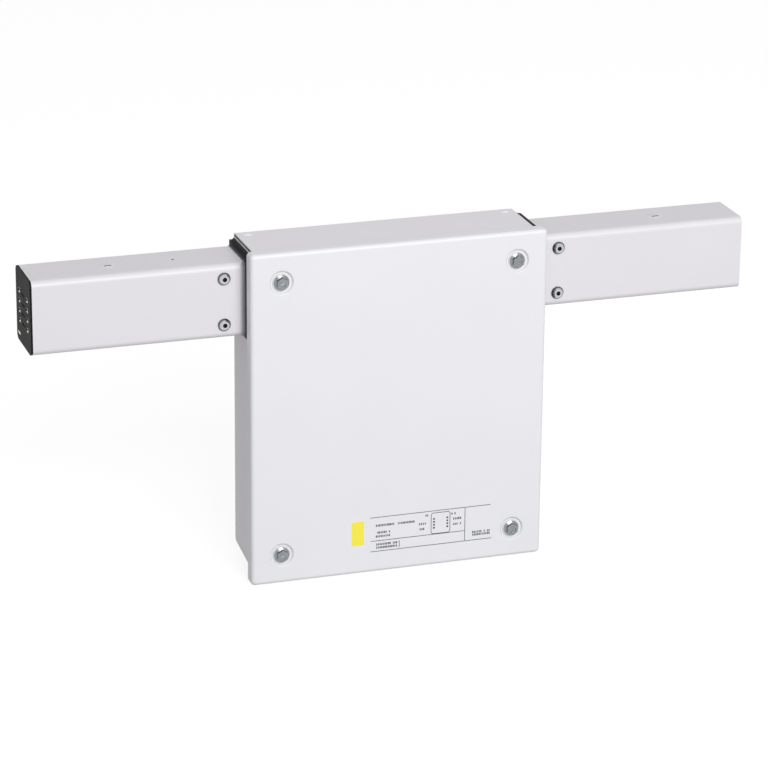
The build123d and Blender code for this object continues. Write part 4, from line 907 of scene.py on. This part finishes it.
def row_group(name, sizes, make_piece):
    """A group that puts equal pieces along X. Count, Pitch, the sizes and Finish are its inputs."""
    kinds = [("Count", "Int"), ("Pitch", "Float")] + [(size, "Float") for size in sizes]
    tree, given = open_group(name, kinds + [("Finish", "Material")])
    step = add(tree, "ShaderNodeCombineXYZ", links={"X": given["Pitch"]})
    row = add(tree, "GeometryNodeMeshLine", {"mode": "OFFSET"},
              {"Count": given["Count"], "Offset": step.outputs[0]})
    first = add(tree, "GeometryNodeInputPosition")
    start = add(tree, "GeometryNodeSampleIndex", {"data_type": "FLOAT_VECTOR"},
                {0: given["Geometry"], "Value": first.outputs[0]})
    placed = add(tree, "GeometryNodeSetPosition",
                 links={"Geometry": row.outputs["Mesh"], "Offset": start.outputs[0]})
    copies = add(tree, "GeometryNodeInstanceOnPoints",
                 links={"Points": placed.outputs[0], "Instance": make_piece(tree, given)})
    close_group(tree, copies.outputs[0], given["Finish"])
    return tree


def rounded_section(tree, width, height, rounding):
    """A rectangle with rounded corners, as a curve to sweep."""
    section = add(tree, "GeometryNodeCurvePrimitiveQuadrilateral",
                  links={"Width": width, "Height": height})
    soft = add(tree, "GeometryNodeFilletCurve", links={0: section.outputs[0], "Radius": rounding})
    return soft.outputs[0]


def ring_piece(tree, given):
    """A rounded collar round the Z axis: a rectangle of wall by length, swept round a circle."""
    half = add(tree, "ShaderNodeMath", {"operation": "MULTIPLY", 1: 0.5}, {0: given["Wall"]})
    middle = add(tree, "ShaderNodeMath", {"operation": "ADD"},
                 {0: given["Hole Radius"], 1: half.outputs[0]})
    circle = add(tree, "GeometryNodeCurvePrimitiveCircle", {"Resolution": RING_SIDES},
                 {"Radius": middle.outputs[0]})
    section = rounded_section(tree, given["Wall"], given["Length"], given["Rounding"])
    swept = add(tree, "GeometryNodeCurveToMesh",
                links={"Curve": circle.outputs["Curve"], "Profile Curve": section})
    return swept.outputs[0]


def tag_piece(tree, given):
    """A thin tag in the XZ plane with rounded corners, its thickness along Y."""
    end = add(tree, "ShaderNodeCombineXYZ", links={"Y": given["Thickness"]})
    line = add(tree, "GeometryNodeCurvePrimitiveLine", links={"End": end.outputs[0]})
    section = rounded_section(tree, given["Width"], given["Height"], given["Rounding"])
    pulled = add(tree, "GeometryNodeCurveToMesh", {"Fill Caps": True},
                 {"Curve": line.outputs[0], "Profile Curve": section})
    return pulled.outputs[0]


ring_row = row_group("ring_row", ("Hole Radius", "Wall", "Length", "Rounding"), ring_piece)
tag_row = row_group("tag_row", ("Width", "Height", "Thickness", "Rounding"), tag_piece)
print("nodes in the trees:", len(ring_row.nodes), len(tag_row.nodes))

# %% Ferrules and marker tags
TERMINALS = 9
TERMINAL_PITCH = 0.0102
LEAD_Y = -25.0
FERRULE_RISE = 2.7

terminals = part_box("circuit_1_terminals")
first_x = -(TERMINALS - 1) / 2 * TERMINAL_PITCH * 1000
tag_y = (terminals[0].y - FILM_GAP) * 1000
tag_z = (terminals[0].z + terminals[1].z) / 2 * 1000
ferrule_z = terminals[1].z * 1000 + FERRULE_RISE

white_nylon = moulded("white_nylon", "F0F0EE", "E8E8E5", 0.4, 0.8, 0.2)
red_nylon = moulded("red_nylon", "B23A30", "A5342B", 0.4, 0.8, 0.2)
grown("terminal_marker_tags", tag_row, [((first_x, tag_y, tag_z), (first_x + 1, tag_y, tag_z))],
      {"Count": TERMINALS, "Pitch": TERMINAL_PITCH, "Width": 0.0084, "Height": 0.005,
       "Thickness": -0.0006, "Rounding": 0.0004, "Finish": white_nylon}, "box")
grown("lead_ferrule_collars", ring_row,
      [((first_x, LEAD_Y, ferrule_z), (first_x + 1, LEAD_Y, ferrule_z))],
      {"Count": TERMINALS, "Pitch": TERMINAL_PITCH, "Hole Radius": 0.00156, "Wall": 0.0007,
       "Length": 0.005, "Rounding": 0.00015, "Finish": red_nylon}, "box")

# %% [markdown]
# ## Floor and world
#
# The picture is a studio shot on white. The floor and the world show white to the camera, in
# reflections and through glass, and a plain grey or a dim light to everything else. A brighter
# world would give a white background too, but it would flood the object with light.

# %% White floor
FLOOR_DROP = 0.0005
FLOOR_HALF = 6.0
FLOOR_GLOW = 0.85
FLOOR_GREY = "B2B2B2"
FLOOR_SHADE = "8C8C8C"
WHITE = "FFFFFF"


def shows_background(tree):
    """1 for a ray that shows the background: from the camera, a reflection or a refraction."""
    rays = add(tree, "ShaderNodeLightPath")
    seen = add(tree, "ShaderNodeMath", {"operation": "MAXIMUM"},
               {0: rays.outputs["Is Camera Ray"], 1: rays.outputs["Is Glossy Ray"]})
    either = add(tree, "ShaderNodeMath", {"operation": "MAXIMUM"},
                 {0: seen.outputs[0], 1: rays.outputs["Is Transmission Ray"]})
    return either.outputs[0]


floor_z = cad_bounds[0][2] - FLOOR_DROP
floor_mesh = bpy.data.meshes.new("floor")
floor_mesh.from_pydata([(x * FLOOR_HALF, y * FLOOR_HALF, floor_z)
                        for x, y in ((-1, -1), (1, -1), (1, 1), (-1, 1))], [], [(0, 1, 2, 3)])
floor = bpy.data.objects.new("floor", floor_mesh)
bpy.context.scene.collection.objects.link(floor)

paper = bpy.data.materials.new("white_paper_floor")
paper.use_nodes = True
tree = paper.node_tree
tree.nodes.clear()
plain = add(tree, "ShaderNodeBsdfDiffuse", {"Color": linear(FLOOR_GREY)})
shade = add(tree, "ShaderNodeBsdfDiffuse", {"Color": linear(FLOOR_SHADE)})
glow = add(tree, "ShaderNodeEmission", {"Color": linear(WHITE), "Strength": FLOOR_GLOW})
bright = add(tree, "ShaderNodeAddShader", links={0: shade.outputs[0], 1: glow.outputs[0]})
surface = add(tree, "ShaderNodeMixShader",
              links={0: shows_background(tree), 1: plain.outputs[0], 2: bright.outputs[0]})
add(tree, "ShaderNodeOutputMaterial", links={"Surface": surface.outputs[0]})
floor_mesh.materials.append(paper)
print("floor at", round(floor_z, 4))

# %% White world
AMBIENT = 0.43

world = bpy.data.worlds.new("studio")
world.use_nodes = True
bpy.context.scene.world = world
tree = world.node_tree
tree.nodes.clear()
dim = add(tree, "ShaderNodeBackground", {"Color": linear(WHITE), "Strength": AMBIENT})
white = add(tree, "ShaderNodeBackground", {"Color": linear(WHITE), "Strength": 1.0})
surface = add(tree, "ShaderNodeMixShader",
              links={0: shows_background(tree), 1: dim.outputs[0], 2: white.outputs[0]})
add(tree, "ShaderNodeOutputWorld", links={"Surface": surface.outputs[0]})
print("ambient level:", AMBIENT)

# %% [markdown]
# ## The lamp
#
# One large soft lamp stands to the right, in front and above, and the world fills the shadows. A
# sun would draw hard shadows, which the picture does not have.

# %% Key lamp
KEY_PLACE = Vector((0.2, -2.45, 1.34))
KEY_SIZE = 1.6
KEY_POWER = 54.0

key_data = bpy.data.lights.new("key_lamp", "AREA")
key_data.shape = "SQUARE"
key_data.size = KEY_SIZE
key_data.energy = KEY_POWER
key_lamp = bpy.data.objects.new("key_lamp", key_data)
bpy.context.scene.collection.objects.link(key_lamp)
key_lamp.location = KEY_PLACE
key_lamp.rotation_euler = KEY_PLACE.to_track_quat("Z", "Y").to_euler()
print("key lamp power, watts:", KEY_POWER)

# %% [markdown]
# ## Finish
#
# The colours are shown as they are, with the Standard view transform.

# %% Finish
bpy.context.scene.view_settings.view_transform = "Standard"
